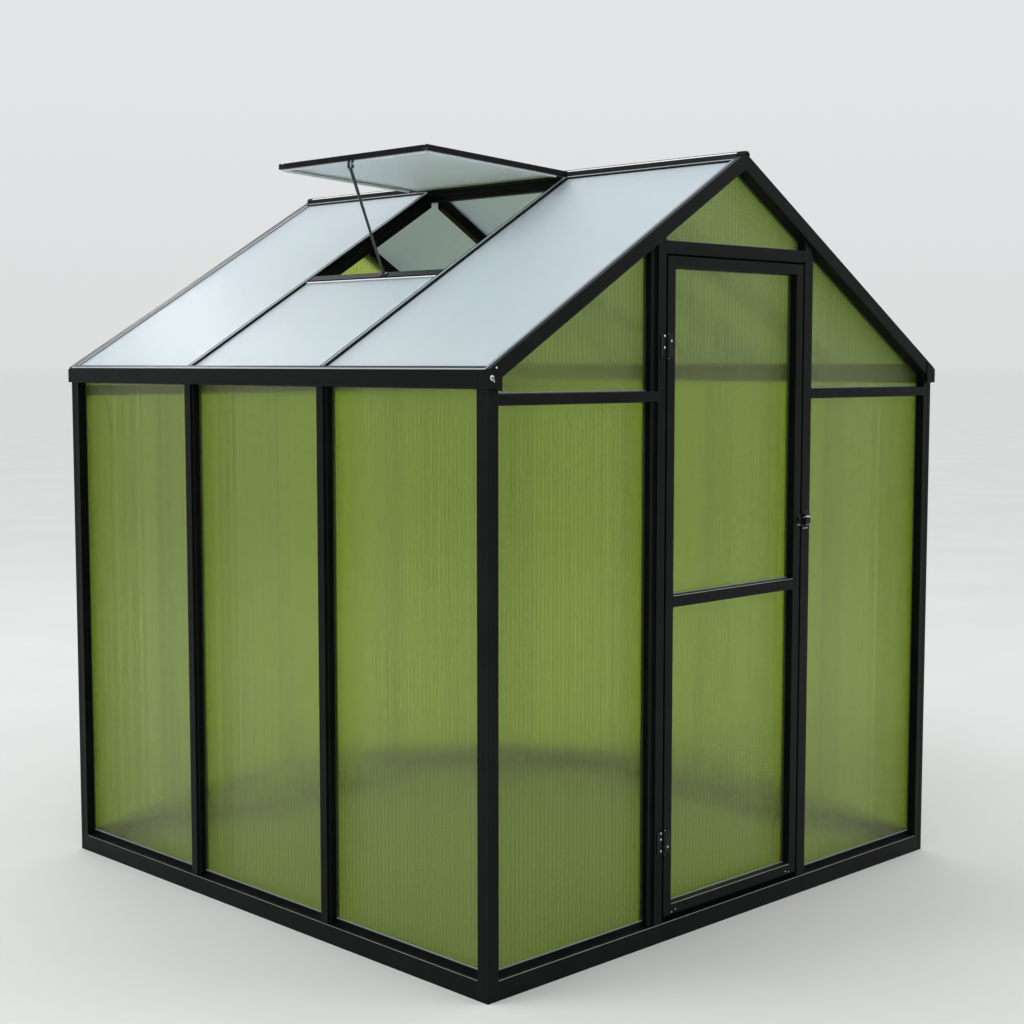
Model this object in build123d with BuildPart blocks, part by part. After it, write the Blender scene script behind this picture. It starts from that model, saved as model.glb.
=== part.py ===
from build123d import *
from math import cos, radians, sin, tan
import os

os.makedirs("parts", exist_ok=True)

# Small greenhouse with an aluminium frame, twin-wall sheets, a hinged door and
# an open roof vent. X runs across the gable, Y from the door gable to the rear,
# Z up. The origin is on the ground, in the middle of the plan. All sizes in mm.

# Overall sizes
length = 1850.0  # outer face of the door gable to outer face of the rear gable
width = 1876.0  # outer face of one side wall to the other
apex_height = 2075.0  # top of the rakes at the ridge
roof_pitch = 31.2  # slope of the roof in degrees

# Sheets and the slots that hold them
sheet = 6.0  # thickness of the twin-wall sheets
recess = 28.0  # from a wall's outer face back to its sheets
play = 0.3  # clearance between pieces that are seated
lap = 12.0  # how far a sheet's edge reaches into its slot
slot_floor = 0.5  # left free behind a sheet's edge

# Wall profiles
frame_depth = 40.0  # depth of rails, studs and mullions
post_face = 36.0  # width of each arm of the corner posts, and depth of the base rails
base_face = 50.0  # height of the base rail's outer face
base_round = 2.0  # bevel along the top of that face
base_rise = 2.0  # rise of the base rail's ledge towards the sheets
base_top = 62.0  # height of the two lips that hold the sheets
lip_wall = 2.7  # thickness of the outer lip
mullion_body = 40.0  # width of the mullion that grips the sheets
mullion_rib = 27.0  # width of the rib on its outer face
rib_depth = 8.0  # depth of that rib
mullion_offset = 300.0  # from the middle of a side wall to each mullion
rear_stud_offset = 313.0  # from the middle of the rear gable to each stud
gable_rail_drop = 39.0  # underside of the eave beams down to that of the gable rails
gable_rail_height = 26.0  # height of the rails across the gables
gable_rail_web = 2.0  # left between the two slots of those rails
edge_round = 1.0  # bevel of the long outer edges
groove = 1.2  # depth of the fine grooves along outer faces
groove_width = 4.0  # width of the grooves in the corner posts
groove_at = 12.0  # from the arris of a post to its groove
drip_edge = 3.0  # plain edge below the groove of an eave beam or a rake

# Eave beam and roof profiles
eave_proud = 4.0  # how far the eave beam stands out from the wall
eave_height = 46.0  # roof line at the wall down to the underside of the eave beam
eave_flange = 14.0  # flange that covers the lower edge of the roof sheets
eave_seat = 3.0  # wall of the eave beam behind the ends of the roof sheets
sheet_cover = 5.7  # from the top plane of the roof down to the sheets
overhang = 10.0  # how far the rakes stand out from the gables
rake_height = 38.0  # height of the rake, square to the slope
rake_flange = 22.0  # width of the flange on top of the rake
roof_bar_width = 24.0  # width of the bars below the roof sheets
roof_bar_height = 33.0  # height of the bars below the roof sheets
bar_cap_width = 22.0  # width of the cap strip above the sheets
bar_cap_round = 1.5  # bevel of the cap strips and of the sash rails
bar_web = 8.0  # web between the edges of two sheets
ridge_half = 14.0  # half the width of the ridge beam
ridge_flange = 24.0  # half the width of its flanges
ridge_lip = 6.0  # thickness of those flanges at their edge
ridge_neck = 12.0  # below the flanges, where its sides become upright
ridge_depth = 36.0  # depth of the ridge beam
ridge_groove_at = 11.0  # height of the groove in its sides above its underside
ridge_foot = 5.0  # height of its narrower foot
ridge_step = 2.0  # depth of the step to that foot
ridge_gap = 12.0  # from the ridge to the roof sheets
ridge_cap_half = 30.0  # half the width of the ridge cap in plan
cap_wall = 2.5  # thickness of the flanges of the ridge cap
crown_foot = 16.0  # half the width of the cap's crown where it starts
crown_side = 13.0  # half its width at the shoulder
crown_shoulder = 3.0  # height of the shoulder above the roof's top plane
crown_half = 8.0  # half the width of its flat top
crown_rise = 4.0  # its top above the rakes
end_cap_half = 14.0  # half the width of the cap over the meeting rakes

# Doorway and door
door_centre = -11.0  # middle of the doorway across the gable
doorway_width = 592.0  # clear width between the studs
door_gap = 7.0  # gap between the leaf and each stud
head_gap = 6.0  # gap above and below the leaf
stud_face = 30.0  # width of a stud's outer face
stud_wing = 19.0  # width of the wing that grips the sheet
header_drop = 277.0  # top of the rakes at the ridge down to the header's underside
header_height = 33.0  # height of the header, the rail over the door
header_lip = 5.5  # height of the lip under its outer face
header_set_back = 2.0  # how far that lip is set back
leaf_depth = 34.0  # thickness of the door leaf
leaf_recess = 24.0  # from the leaf's outer face back to its sheets
stile_face = 30.0  # width of the leaf's stiles
door_rail = 28.0  # height of the leaf's top and bottom rails
mid_rail_share = 0.4745  # height of the middle rail's underside, as a share of the leaf
mid_rail_height = 30.0  # height of the middle rail
stop_width = 24.0  # width of the strips that the leaf closes against
stop_wall = 2.5  # thickness of those strips
stop_cover = 8.0  # how far the strips reach behind the edges of the leaf

# Hinges and latch
pin_stand_off = 5.0  # from the outer face to the hinge pin
pin_radius = 2.5  # radius of the hinge pins
pin_clearance = 0.05  # radial clearance of a pin in its knuckle
knuckle_radius = 5.0  # outer radius of the knuckles
hinge_height = 60.0  # height of a hinge
hinge_wing = 25.0  # from the pin to the edge of a hinge leaf
hinge_wall = 2.5  # thickness of the hinge leaves
hinge_overlap = 1.0  # web of a knuckle, from the knuckle to the hinge leaf
knuckle_third = 10.0  # half the height of the middle knuckle
pin_end = 2.0  # how far the pins show above and below the knuckles
upper_hinge_drop = 229.0  # top of the leaf to the middle of the upper hinge
lower_hinge_rise = 201.0  # foot of the leaf to the middle of the lower hinge
latch_rise = 165.0  # top of the middle rail to the middle of the latch
latch_inset = 1.0  # from the edges of stud and leaf to the plates of the latch
latch_plate = (26.0, 52.0)  # size of the plate on the stud
latch_wall = 2.0  # thickness of both plates
latch_body = (22.0, 30.0)  # size of the block on that plate
latch_depth = 14.0  # how far the block stands out
latch_round = 3.0  # rounding of the block's outer edges
keeper_plate = (17.0, 30.0)  # size of the plate on the leaf
keeper_body = (7.0, 14.0)  # size of the stud on that plate
keeper_depth = 7.0  # how far it stands out
keeper_bevel = 1.5  # bevel of its outer edges

# Roof vent
sill_slope = 575.0  # down the slope from the ridge to the vent sill
sill_width = 28.0  # width of the sill, down the slope
sill_drop = 1.0  # its top face below the roof's top plane
sill_body = 18.0  # its depth below the sheets
sash_length = 540.0  # hinge side to free edge of the sash
sash_width = 656.0  # width of the sash
sash_height = 16.0  # height of the sash rails
sash_rail = 20.0  # width of the sash rails over the vent sheet
sash_under = 7.0  # their width under the vent sheet
sash_slant = 12.0  # width of the slope along the top of a sash rail
sash_lip = 2.5  # thickness of the lip over the vent sheet
sash_lift = 3.3  # how far the open sash points above level, in degrees
panel_gap = 2.7  # thickness of the lip under the vent sheet
panel_seat = 3.0  # wall of a sash rail behind the edge of its sheet
pivot_offset = 40.0  # from the ridge to the bead that the sash turns on
pivot_below = 16.0  # top of the rakes at the ridge down to that bead
bead_radius = 4.0  # radius of the bead
lip_foot = 4.0  # thickness of the wall under the bead's lip
hook_wall = 3.2  # thickness of the hook round the bead
hook_neck = 5.0  # thickness of the web from the hook to the sash
hook_gap = 1.5  # length of that web
pivot_drop = 5.5  # from the bead's middle to the underside of the sash

# Vent stay
stay_top_y = 0.0  # place of the fork along the sash
stay_foot_y = -45.0  # place of the foot along the sill
rod_foot_radius = 3.4
rod_top_radius = 4.8
fork_width = 20.0
fork_height = 22.0
fork_strip = 3.0  # thickness of the fork's bent strip
fork_depth = 8.0  # width of that strip
fork_inset = 1.0  # from the free edge of the sash to the fork
foot_plate = (18.0, 26.0)  # size of the foot, down the slope and across
foot_height = 3.0
foot_corner = 3.0  # corner radius of the foot
boss_plate = (10.0, 12.0)  # size of the boss that holds the rod
boss_height = 7.0
boss_corner = 2.0  # corner radius of the boss

# Eave corner brackets
bracket_wall = 2.2
bracket_reach = 37.0  # from the side wall's face along the gable
bracket_drop = 7.0  # how far the inner part hangs below the eave beam
bracket_flat = 17.0  # length of the level part of its lower edge
bracket_cover = 3.5  # from the roof's top plane down to the bracket

# Derived sizes
half_length = length / 2
half_width = width / 2
slope = tan(radians(roof_pitch))
pitch_cos = cos(radians(roof_pitch))
pitch_sin = sin(radians(roof_pitch))
front_slot = recess - play
rear_slot = recess + sheet + play
slot_reach = lap + slot_floor
sheet_floor = sheet_cover + play + sheet + play
rail_slot = (gable_rail_height - gable_rail_web) / 2
rail_lap = rail_slot - slot_floor
eave_bottom = apex_height - slope * half_width - eave_height
gable_rail_bottom = eave_bottom - gable_rail_drop
gable_rail_top = gable_rail_bottom + gable_rail_height
header_bottom = apex_height - header_drop
header_top = header_bottom + header_height
doorway_left = door_centre - doorway_width / 2
doorway_right = door_centre + doorway_width / 2
stud_span = stud_face + stud_wing
leaf_foot = base_top + head_gap
leaf_head = header_bottom - head_gap
mid_rail_bottom = leaf_foot + mid_rail_share * (leaf_head - leaf_foot)
mid_rail_top = mid_rail_bottom + mid_rail_height
upper_hinge = leaf_head - upper_hinge_drop
lower_hinge = leaf_foot + lower_hinge_rise
latch_level = mid_rail_top + latch_rise
vent_pivot_x = -pivot_offset
vent_pivot_z = apex_height - pivot_below
wall_end = half_length - frame_depth - play
mullion_foot = base_face + base_rise + play
base_seat = base_top + play


def roof_z(x, drop=0.0):
    """Height of the roof's top plane at x, or of a plane that far below it."""
    return apex_height - slope * abs(x) - drop / pitch_cos


def front_wall(x=0.0, z=0.0):
    """Plane across the front gable: depth into the house, then height."""
    return Plane(origin=(x, -half_length, z), x_dir=(0, 1, 0), z_dir=(1, 0, 0))


def left_wall(y=0.0, z=0.0):
    """Plane across the left wall: depth into the house, then height."""
    return Plane(origin=(-half_width, y, z), x_dir=(1, 0, 0), z_dir=(0, -1, 0))


def front_plan(z):
    """Level plane seen from above on the front gable: across, then depth."""
    return Plane(origin=(0, -half_length, z), x_dir=(1, 0, 0), z_dir=(0, 0, 1))


def left_plan(y, z):
    """Level plane on the left wall: along the wall, then depth."""
    return Plane(origin=(-half_width, y, z), x_dir=(0, -1, 0), z_dir=(0, 0, 1))


def left_slope(origin=(0, 0, apex_height)):
    """Plane on the left slope's top face: down the slope, then across it."""
    return Plane(
        origin=origin,
        x_dir=(-pitch_cos, 0, -pitch_sin),
        z_dir=(-pitch_sin, 0, pitch_cos),
    )


def across_house(y):
    """Upright plane across the house at y, seen from the front: across, then up."""
    return Plane(origin=(0, y, 0), x_dir=(1, 0, 0), z_dir=(0, -1, 0))


front_elevation = across_house(-half_length)
beyond = 10.0  # how far a cut runs past what it cuts


def above_rakes():
    """Outline of what lies above the underside of the two rakes."""
    side = half_width + beyond
    return [
        (0, roof_z(0, rake_height + play)),
        (-side, roof_z(side, rake_height + play)),
        (-side, 2 * apex_height),
        (side, 2 * apex_height),
        (side, roof_z(side, rake_height + play)),
    ]


# Base rails: a tall face, a ledge and two lips with a slot for the sheets
base_profile = [
    (0, 0),
    (post_face, 0),
    (post_face, base_top),
    (rear_slot, base_top),
    (rear_slot, base_face),
    (front_slot, base_face),
    (front_slot, base_top),
    (front_slot - lip_wall, base_top),
    (front_slot - lip_wall, base_face + base_rise),
    (base_round, base_face),
    (0, base_face - base_round),
]

front_base_run = width - 2 * (post_face + play)
side_base_run = length - 2 * (post_face + play)

with BuildPart() as base_rail_front:
    with BuildSketch(front_wall(-front_base_run / 2)):
        Polygon(*base_profile, align=None)
    extrude(amount=front_base_run)
base_rail_front.part.label = "base_rail_front"
export_step(base_rail_front.part, "parts/base_rail_front.step")

with BuildPart() as base_rail_rear:
    add(base_rail_front.part)
    mirror(about=Plane.XZ, mode=Mode.REPLACE)
base_rail_rear.part.label = "base_rail_rear"
export_step(base_rail_rear.part, "parts/base_rail_rear.step")

with BuildPart() as side_base_rails:
    with BuildSketch(left_wall(side_base_run / 2)):
        Polygon(*base_profile, align=None)
    extrude(amount=side_base_run)
    mirror(about=Plane.YZ)
side_base_rails.part.label = "side_base_rails"
export_step(side_base_rails.part, "parts/side_base_rails.step")

# Corner posts: an angle with a fine groove down each face, cut to the slope
post_profile = [
    (0, 0),
    (groove_at, 0),
    (groove_at + groove, groove),
    (groove_at + groove_width - groove, groove),
    (groove_at + groove_width, 0),
    (post_face, 0),
    (post_face, front_slot),
    (front_slot, front_slot),
    (front_slot, post_face),
    (0, post_face),
    (0, groove_at + groove_width),
    (groove, groove_at + groove_width - groove),
    (groove, groove_at + groove),
    (0, groove_at),
]
post_inner_top = roof_z(half_width - post_face, rake_height + play)

with BuildPart() as front_corner_posts:
    with BuildSketch(Plane(origin=(-half_width, -half_length, 0))):
        Polygon(*post_profile, align=None)
    extrude(amount=post_inner_top + play)
    with BuildSketch(front_elevation):
        Polygon(*above_rakes(), align=None)
    extrude(amount=-post_face, mode=Mode.SUBTRACT)
    mirror(about=Plane.YZ)
front_corner_posts.part.label = "front_corner_posts"
export_step(front_corner_posts.part, "parts/front_corner_posts.step")

with BuildPart() as rear_corner_posts:
    add(front_corner_posts.part)
    mirror(about=Plane.XZ, mode=Mode.REPLACE)
rear_corner_posts.part.label = "rear_corner_posts"
export_step(rear_corner_posts.part, "parts/rear_corner_posts.step")

# Mullions: a body with a slot on each side and a narrower rib on the outside
body_half = mullion_body / 2
rib_half = mullion_rib / 2
mullion_half_profile = [
    (0, 0),
    (rib_half - edge_round, 0),
    (rib_half, edge_round),
    (rib_half, rib_depth),
    (body_half - edge_round, rib_depth),
    (body_half, rib_depth + edge_round),
    (body_half, front_slot),
    (body_half - slot_reach, front_slot),
    (body_half - slot_reach, rear_slot),
    (body_half, rear_slot),
    (body_half, frame_depth),
    (0, frame_depth),
]
mullion_top = eave_bottom - play

with BuildPart() as side_mullions:
    for mullion_y in (-mullion_offset, mullion_offset):
        with BuildSketch(left_plan(mullion_y, mullion_foot)):
            Polygon(*mullion_half_profile, align=None)
            mirror(about=Plane.YZ)
        extrude(amount=mullion_top - mullion_foot)
    with BuildSketch(left_wall(half_length)):
        with Locations((front_slot - lip_wall - play, 0)):
            Rectangle(frame_depth, base_seat, align=(Align.MIN, Align.MIN))
    extrude(amount=length, mode=Mode.SUBTRACT)
    mirror(about=Plane.YZ)
side_mullions.part.label = "side_mullions"
export_step(side_mullions.part, "parts/side_mullions.step")

# Eave beams: a face, a sloped flange over the roof sheets and a slot below
flange_end = eave_flange - eave_proud


def eave_z(depth, drop=0.0):
    """Height of a plane of the roof at a depth in from the side wall."""
    return roof_z(half_width - depth, drop)


eave_profile = [
    (-eave_proud, eave_bottom + edge_round),
    (-eave_proud + edge_round, eave_bottom),
    (front_slot, eave_bottom),
    (front_slot, eave_bottom + slot_reach),
    (rear_slot, eave_bottom + slot_reach),
    (rear_slot, eave_bottom),
    (frame_depth, eave_bottom),
    (frame_depth, eave_z(frame_depth, sheet_floor)),
    (eave_seat, eave_z(eave_seat, sheet_floor)),
    (eave_seat, eave_z(eave_seat, sheet_cover)),
    (flange_end, eave_z(flange_end, sheet_cover)),
    (flange_end, eave_z(flange_end)),
    (-eave_proud, eave_z(-eave_proud)),
    (-eave_proud, eave_bottom + drip_edge + 2 * groove),
    (-eave_proud + groove, eave_bottom + drip_edge + groove),
    (-eave_proud, eave_bottom + drip_edge),
]

with BuildPart() as eave_beam_left:
    with BuildSketch(left_wall(wall_end)):
        Polygon(*eave_profile, align=None)
    extrude(amount=2 * wall_end)
eave_beam_left.part.label = "eave_beam_left"
export_step(eave_beam_left.part, "parts/eave_beam_left.step")

with BuildPart() as eave_beam_right:
    add(eave_beam_left.part)
    mirror(about=Plane.YZ, mode=Mode.REPLACE)
eave_beam_right.part.label = "eave_beam_right"
export_step(eave_beam_right.part, "parts/eave_beam_right.step")

# Door studs: an outer face beside the door and a wing set back by the sheet,
# standing on the base rail and cut on the slope under the rakes
stud_profile = [
    (0, edge_round),
    (edge_round, 0),
    (stud_face, 0),
    (stud_face, rib_depth),
    (stud_span - edge_round, rib_depth),
    (stud_span, rib_depth + edge_round),
    (stud_span, front_slot),
    (stud_span - slot_reach, front_slot),
    (stud_span - slot_reach, rear_slot),
    (stud_span, rear_slot),
    (stud_span, frame_depth),
    (0, frame_depth),
]
left_stud_profile = [(doorway_left - u, v) for u, v in stud_profile]
right_stud_profile = [(doorway_right + u, v) for u, v in stud_profile]

with BuildPart() as door_studs:
    with BuildSketch(front_plan(mullion_foot)):
        Polygon(*left_stud_profile, align=None)
        Polygon(*right_stud_profile, align=None)
    extrude(amount=apex_height - mullion_foot)
    with BuildSketch(front_wall(-half_width)):
        with Locations((front_slot - lip_wall - play, 0)):
            Rectangle(frame_depth, base_seat, align=(Align.MIN, Align.MIN))
    extrude(amount=width, mode=Mode.SUBTRACT)
    with BuildSketch(front_elevation):
        Polygon(*above_rakes(), align=None)
    extrude(amount=-frame_depth, mode=Mode.SUBTRACT)
door_studs.part.label = "door_studs"
export_step(door_studs.part, "parts/door_studs.step")

# Rear studs: the mullion profile, cut on the slope under the rear rakes
with BuildPart() as rear_studs:
    for stud_x in (-rear_stud_offset, rear_stud_offset):
        with BuildSketch(Plane(origin=(stud_x, -half_length, mullion_foot))):
            Polygon(*mullion_half_profile, align=None)
            mirror(about=Plane.YZ)
        extrude(amount=apex_height - mullion_foot)
    with BuildSketch(front_wall(-half_width)):
        with Locations((front_slot - lip_wall - play, 0)):
            Rectangle(frame_depth, base_seat, align=(Align.MIN, Align.MIN))
    extrude(amount=width, mode=Mode.SUBTRACT)
    with BuildSketch(front_elevation):
        Polygon(*above_rakes(), align=None)
    extrude(amount=-frame_depth, mode=Mode.SUBTRACT)
    mirror(about=Plane.XZ, mode=Mode.REPLACE)
rear_studs.part.label = "rear_studs"
export_step(rear_studs.part, "parts/rear_studs.step")

# Gable rails: a slot above and a slot below for the edges of the sheets
rail_profile = [
    (edge_round, 0),
    (front_slot, 0),
    (front_slot, rail_slot),
    (rear_slot, rail_slot),
    (rear_slot, 0),
    (frame_depth, 0),
    (frame_depth, gable_rail_height),
    (rear_slot, gable_rail_height),
    (rear_slot, gable_rail_height - rail_slot),
    (front_slot, gable_rail_height - rail_slot),
    (front_slot, gable_rail_height),
    (edge_round, gable_rail_height),
    (0, gable_rail_height - edge_round),
    (0, edge_round),
]
tongue_profile = [
    (edge_round, 0),
    (rib_depth - play, 0),
    (rib_depth - play, gable_rail_height),
    (edge_round, gable_rail_height),
    (0, gable_rail_height - edge_round),
    (0, edge_round),
]
rail_start = -half_width + post_face + play
left_stud_edge = doorway_left - stud_span
right_stud_edge = doorway_right + stud_span


def gable_rails(runs):
    """Rails from start to end, each with tongues that lap over the uprights."""
    with BuildPart() as rails:
        for start, end, tongue_start, tongue_end in runs:
            with BuildSketch(front_wall(start, gable_rail_bottom)):
                Polygon(*rail_profile, align=None)
            extrude(amount=end - start)
            with BuildSketch(front_wall(tongue_start, gable_rail_bottom)):
                Polygon(*tongue_profile, align=None)
            extrude(amount=tongue_end - tongue_start)
    return rails.part


left_end = left_stud_edge - play
right_end = right_stud_edge + play
wing_lap = stud_wing
body_lap = body_half - rib_half
front_runs = [
    (rail_start, left_end, rail_start, left_end + wing_lap),
    (right_end, -rail_start, right_end - wing_lap, -rail_start),
]

with BuildPart() as front_gable_rails:
    add(gable_rails(front_runs))
front_gable_rails.part.label = "front_gable_rails"
export_step(front_gable_rails.part, "parts/front_gable_rails.step")

rear_stud_edge = rear_stud_offset + body_half + play
rear_middle = rear_stud_offset - body_half - play
rear_runs = [
    (rail_start, -rear_stud_edge, rail_start, -rear_stud_edge + body_lap),
    (-rear_middle, rear_middle, -rear_middle - body_lap, rear_middle + body_lap),
    (rear_stud_edge, -rail_start, rear_stud_edge - body_lap, -rail_start),
]

with BuildPart() as rear_gable_rails:
    add(gable_rails(rear_runs))
    mirror(about=Plane.XZ, mode=Mode.REPLACE)
rear_gable_rails.part.label = "rear_gable_rails"
export_step(rear_gable_rails.part, "parts/rear_gable_rails.step")

# Door header: a rail over the door with a drip lip and a slot on its top
header_profile = [
    (header_set_back, 0),
    (frame_depth, 0),
    (frame_depth, header_height),
    (rear_slot, header_height),
    (rear_slot, header_height - slot_reach),
    (front_slot, header_height - slot_reach),
    (front_slot, header_height),
    (edge_round, header_height),
    (0, header_height - edge_round),
    (0, header_lip),
    (header_set_back, header_lip - edge_round),
]

with BuildPart() as door_header:
    with BuildSketch(front_wall(doorway_left + play, header_bottom)):
        Polygon(*header_profile, align=None)
    extrude(amount=doorway_width - 2 * play)
door_header.part.label = "door_header"
export_step(door_header.part, "parts/door_header.step")

# Door stops: flat strips behind the edges of the leaf, on studs and header
stop_depth = frame_depth + play
stop_foot = base_top + play
stop_edge = door_gap + stop_cover
stop_head = header_bottom - head_gap - stop_cover + stop_width

with BuildPart() as door_stops:
    with BuildSketch(across_house(-half_length + stop_depth)):
        with Locations((doorway_left + stop_edge, stop_foot)):
            Rectangle(stop_width, stop_head - stop_foot, align=(Align.MAX, Align.MIN))
        with Locations((doorway_right - stop_edge, stop_foot)):
            Rectangle(stop_width, stop_head - stop_foot, align=(Align.MIN, Align.MIN))
        with Locations((door_centre, stop_head)):
            Rectangle(
                doorway_width - 2 * (stop_edge + play),
                stop_width,
                align=(Align.CENTER, Align.MAX),
            )
    extrude(amount=-stop_wall)
door_stops.part.label = "door_stops"
export_step(door_stops.part, "parts/door_stops.step")

# Rakes: a face along the gable, a flange over the roof sheets, a slot for
# them, and a slot below for the gable sheets
rake_depth = overhang + frame_depth
rake_profile = [
    (0, 0),
    (rake_flange, 0),
    (rake_flange, -sheet_cover),
    (overhang, -sheet_cover),
    (overhang, -sheet_floor),
    (rake_depth, -sheet_floor),
    (rake_depth, -rake_height),
    (overhang + rear_slot, -rake_height),
    (overhang + rear_slot, -rake_height + slot_reach),
    (overhang + front_slot, -rake_height + slot_reach),
    (overhang + front_slot, -rake_height),
    (edge_round, -rake_height),
    (0, -rake_height + edge_round),
    (0, -rake_height + drip_edge),
    (groove, -rake_height + drip_edge + groove),
    (0, -rake_height + drip_edge + 2 * groove),
]
roof_run = half_width / pitch_cos


def up_left_slope(y, past=0.0):
    """Plane square to the left slope, a little past the ridge: depth, then height."""
    return Plane(
        origin=(past * pitch_cos, y, apex_height + past * pitch_sin),
        x_dir=(0, 1, 0),
        z_dir=(pitch_cos, 0, pitch_sin),
    )


with BuildPart() as front_rakes:
    with BuildSketch(up_left_slope(-half_length - overhang, rake_height)):
        Polygon(*rake_profile, align=None)
    extrude(amount=-(roof_run + 2 * rake_height))
    with BuildSketch(front_elevation.offset(overhang)):
        with Locations((-half_width, 0)):
            Rectangle(half_width, 2 * apex_height, align=(Align.MAX, Align.MIN))
        with Locations((-play / 2, 0)):
            Rectangle(half_width, 2 * apex_height, align=(Align.MIN, Align.MIN))
    extrude(amount=-rake_depth, mode=Mode.SUBTRACT)
    mirror(about=Plane.YZ)
front_rakes.part.label = "front_rakes"
export_step(front_rakes.part, "parts/front_rakes.step")

with BuildPart() as rear_rakes:
    add(front_rakes.part)
    mirror(about=Plane.XZ, mode=Mode.REPLACE)
rear_rakes.part.label = "rear_rakes"
export_step(rear_rakes.part, "parts/rear_rakes.step")

# Ridge beam: flanges under the roof sheets, a web between them and a deep body
ridge_bottom = apex_height - sheet_floor / pitch_cos - ridge_depth
ridge_web = bar_web / 2 - edge_round
web_top = roof_z(bar_web / 2, sheet_cover)
ridge_groove = ridge_bottom + ridge_groove_at
ridge_profile = [
    (0, web_top - play),
    (ridge_web, web_top - play),
    (ridge_web, roof_z(ridge_web, sheet_floor)),
    (ridge_flange, roof_z(ridge_flange, sheet_floor)),
    (ridge_flange, roof_z(ridge_flange, sheet_floor) - ridge_lip),
    (ridge_half, roof_z(ridge_half, sheet_floor) - ridge_neck),
    (ridge_half, ridge_groove + groove),
    (ridge_half - groove, ridge_groove),
    (ridge_half, ridge_groove - groove),
    (ridge_half, ridge_bottom + ridge_foot),
    (ridge_half - ridge_step, ridge_bottom + ridge_foot - ridge_step),
    (ridge_half - ridge_step, ridge_bottom),
    (0, ridge_bottom),
]

with BuildPart() as ridge_beam:
    with BuildSketch(across_house(wall_end)):
        Polygon(*ridge_profile, align=None)
        mirror(about=Plane.YZ)
    extrude(amount=2 * wall_end)
ridge_beam.part.label = "ridge_beam"
export_step(ridge_beam.part, "parts/ridge_beam.step")

# Ridge caps: a raised crown with a flange on each slope, on both sides of the
# vent, and a small end cap over the meeting rakes
crown_top = apex_height + crown_rise
crown_slope = [
    (bar_web / 2, web_top),
    (ridge_cap_half, roof_z(ridge_cap_half, sheet_cover)),
    (ridge_cap_half, roof_z(ridge_cap_half, sheet_cover - cap_wall)),
    (crown_foot, roof_z(crown_foot, sheet_cover - cap_wall)),
    (crown_side, roof_z(crown_side, -crown_shoulder)),
    (crown_half, crown_top),
]
end_cap_profile = [
    (0, apex_height + play),
    (end_cap_half, roof_z(end_cap_half) + play),
    (end_cap_half, roof_z(end_cap_half) + crown_rise),
    (crown_half, crown_top),
    (0, crown_top),
]
cap_start = half_length + overhang - rake_flange - play
vent_bay = mullion_offset - roof_bar_width / 2

with BuildPart() as ridge_caps:
    with BuildSketch(across_house(-vent_bay)):
        Polygon((0, web_top), *crown_slope, (0, crown_top), align=None)
        mirror(about=Plane.YZ)
    extrude(amount=cap_start - vent_bay)
    with BuildSketch(across_house(-cap_start - play)):
        Polygon(*end_cap_profile, align=None)
        mirror(about=Plane.YZ)
    extrude(amount=rake_flange + cap_wall)
    mirror(about=Plane.XZ)
ridge_caps.part.label = "ridge_caps"
export_step(ridge_caps.part, "parts/ridge_caps.step")

# Roof bars: a deep bar below the sheets, a web between them and a cap above
bar_start = (ridge_flange + play) / pitch_cos
bar_end = half_width - frame_depth - play
cap_from = ridge_cap_half + play
cap_to = half_width - flange_end - play


def roof_bar_set():
    """Two bars of the left slope, cut upright where they meet the beams."""
    with BuildPart() as bars:
        for bar_y in (-mullion_offset, mullion_offset):
            with BuildSketch(up_left_slope(bar_y)):
                with Locations((0, -sheet_floor)):
                    Rectangle(roof_bar_width, roof_bar_height, align=(Align.CENTER, Align.MAX))
                for side in (-1, 1):
                    with Locations((side * roof_bar_width / 2, -sheet_floor - roof_bar_height / 2)):
                        Rectangle(2 * groove, 2 * groove, rotation=45, mode=Mode.SUBTRACT)
            extrude(amount=-roof_run - roof_bar_height)
        with BuildSketch(across_house(half_length)):
            Rectangle(2 * (ridge_flange + play), 3 * apex_height)
            with Locations((-bar_end, 0)):
                Rectangle(half_width, 3 * apex_height, align=(Align.MAX, Align.CENTER))
        extrude(amount=length, mode=Mode.SUBTRACT)
    with BuildPart() as caps:
        for bar_y in (-mullion_offset, mullion_offset):
            with BuildSketch(up_left_slope(bar_y)):
                cap_half = bar_cap_width / 2
                Polygon(
                    (-cap_half + bar_cap_round, 0),
                    (cap_half - bar_cap_round, 0),
                    (cap_half, -bar_cap_round),
                    (cap_half, -sheet_cover),
                    (bar_web / 2, -sheet_cover),
                    (bar_web / 2, -sheet_floor),
                    (-bar_web / 2, -sheet_floor),
                    (-bar_web / 2, -sheet_cover),
                    (-cap_half, -sheet_cover),
                    (-cap_half, -bar_cap_round),
                    align=None,
                )
            extrude(amount=-roof_run - roof_bar_height)
        with BuildSketch(across_house(half_length)):
            Rectangle(2 * cap_from, 3 * apex_height)
            with Locations((-cap_to, 0)):
                Rectangle(half_width, 3 * apex_height, align=(Align.MAX, Align.CENTER))
        extrude(amount=length, mode=Mode.SUBTRACT)
    return bars.part + caps.part


bar_set = roof_bar_set()

with BuildPart() as roof_bars_left:
    add(bar_set)
roof_bars_left.part.label = "roof_bars_left"
export_step(roof_bars_left.part, "parts/roof_bars_left.step")

with BuildPart() as roof_bars_right:
    add(bar_set)
    mirror(about=Plane.YZ, mode=Mode.REPLACE)
roof_bars_right.part.label = "roof_bars_right"
export_step(roof_bars_right.part, "parts/roof_bars_right.step")

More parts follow.
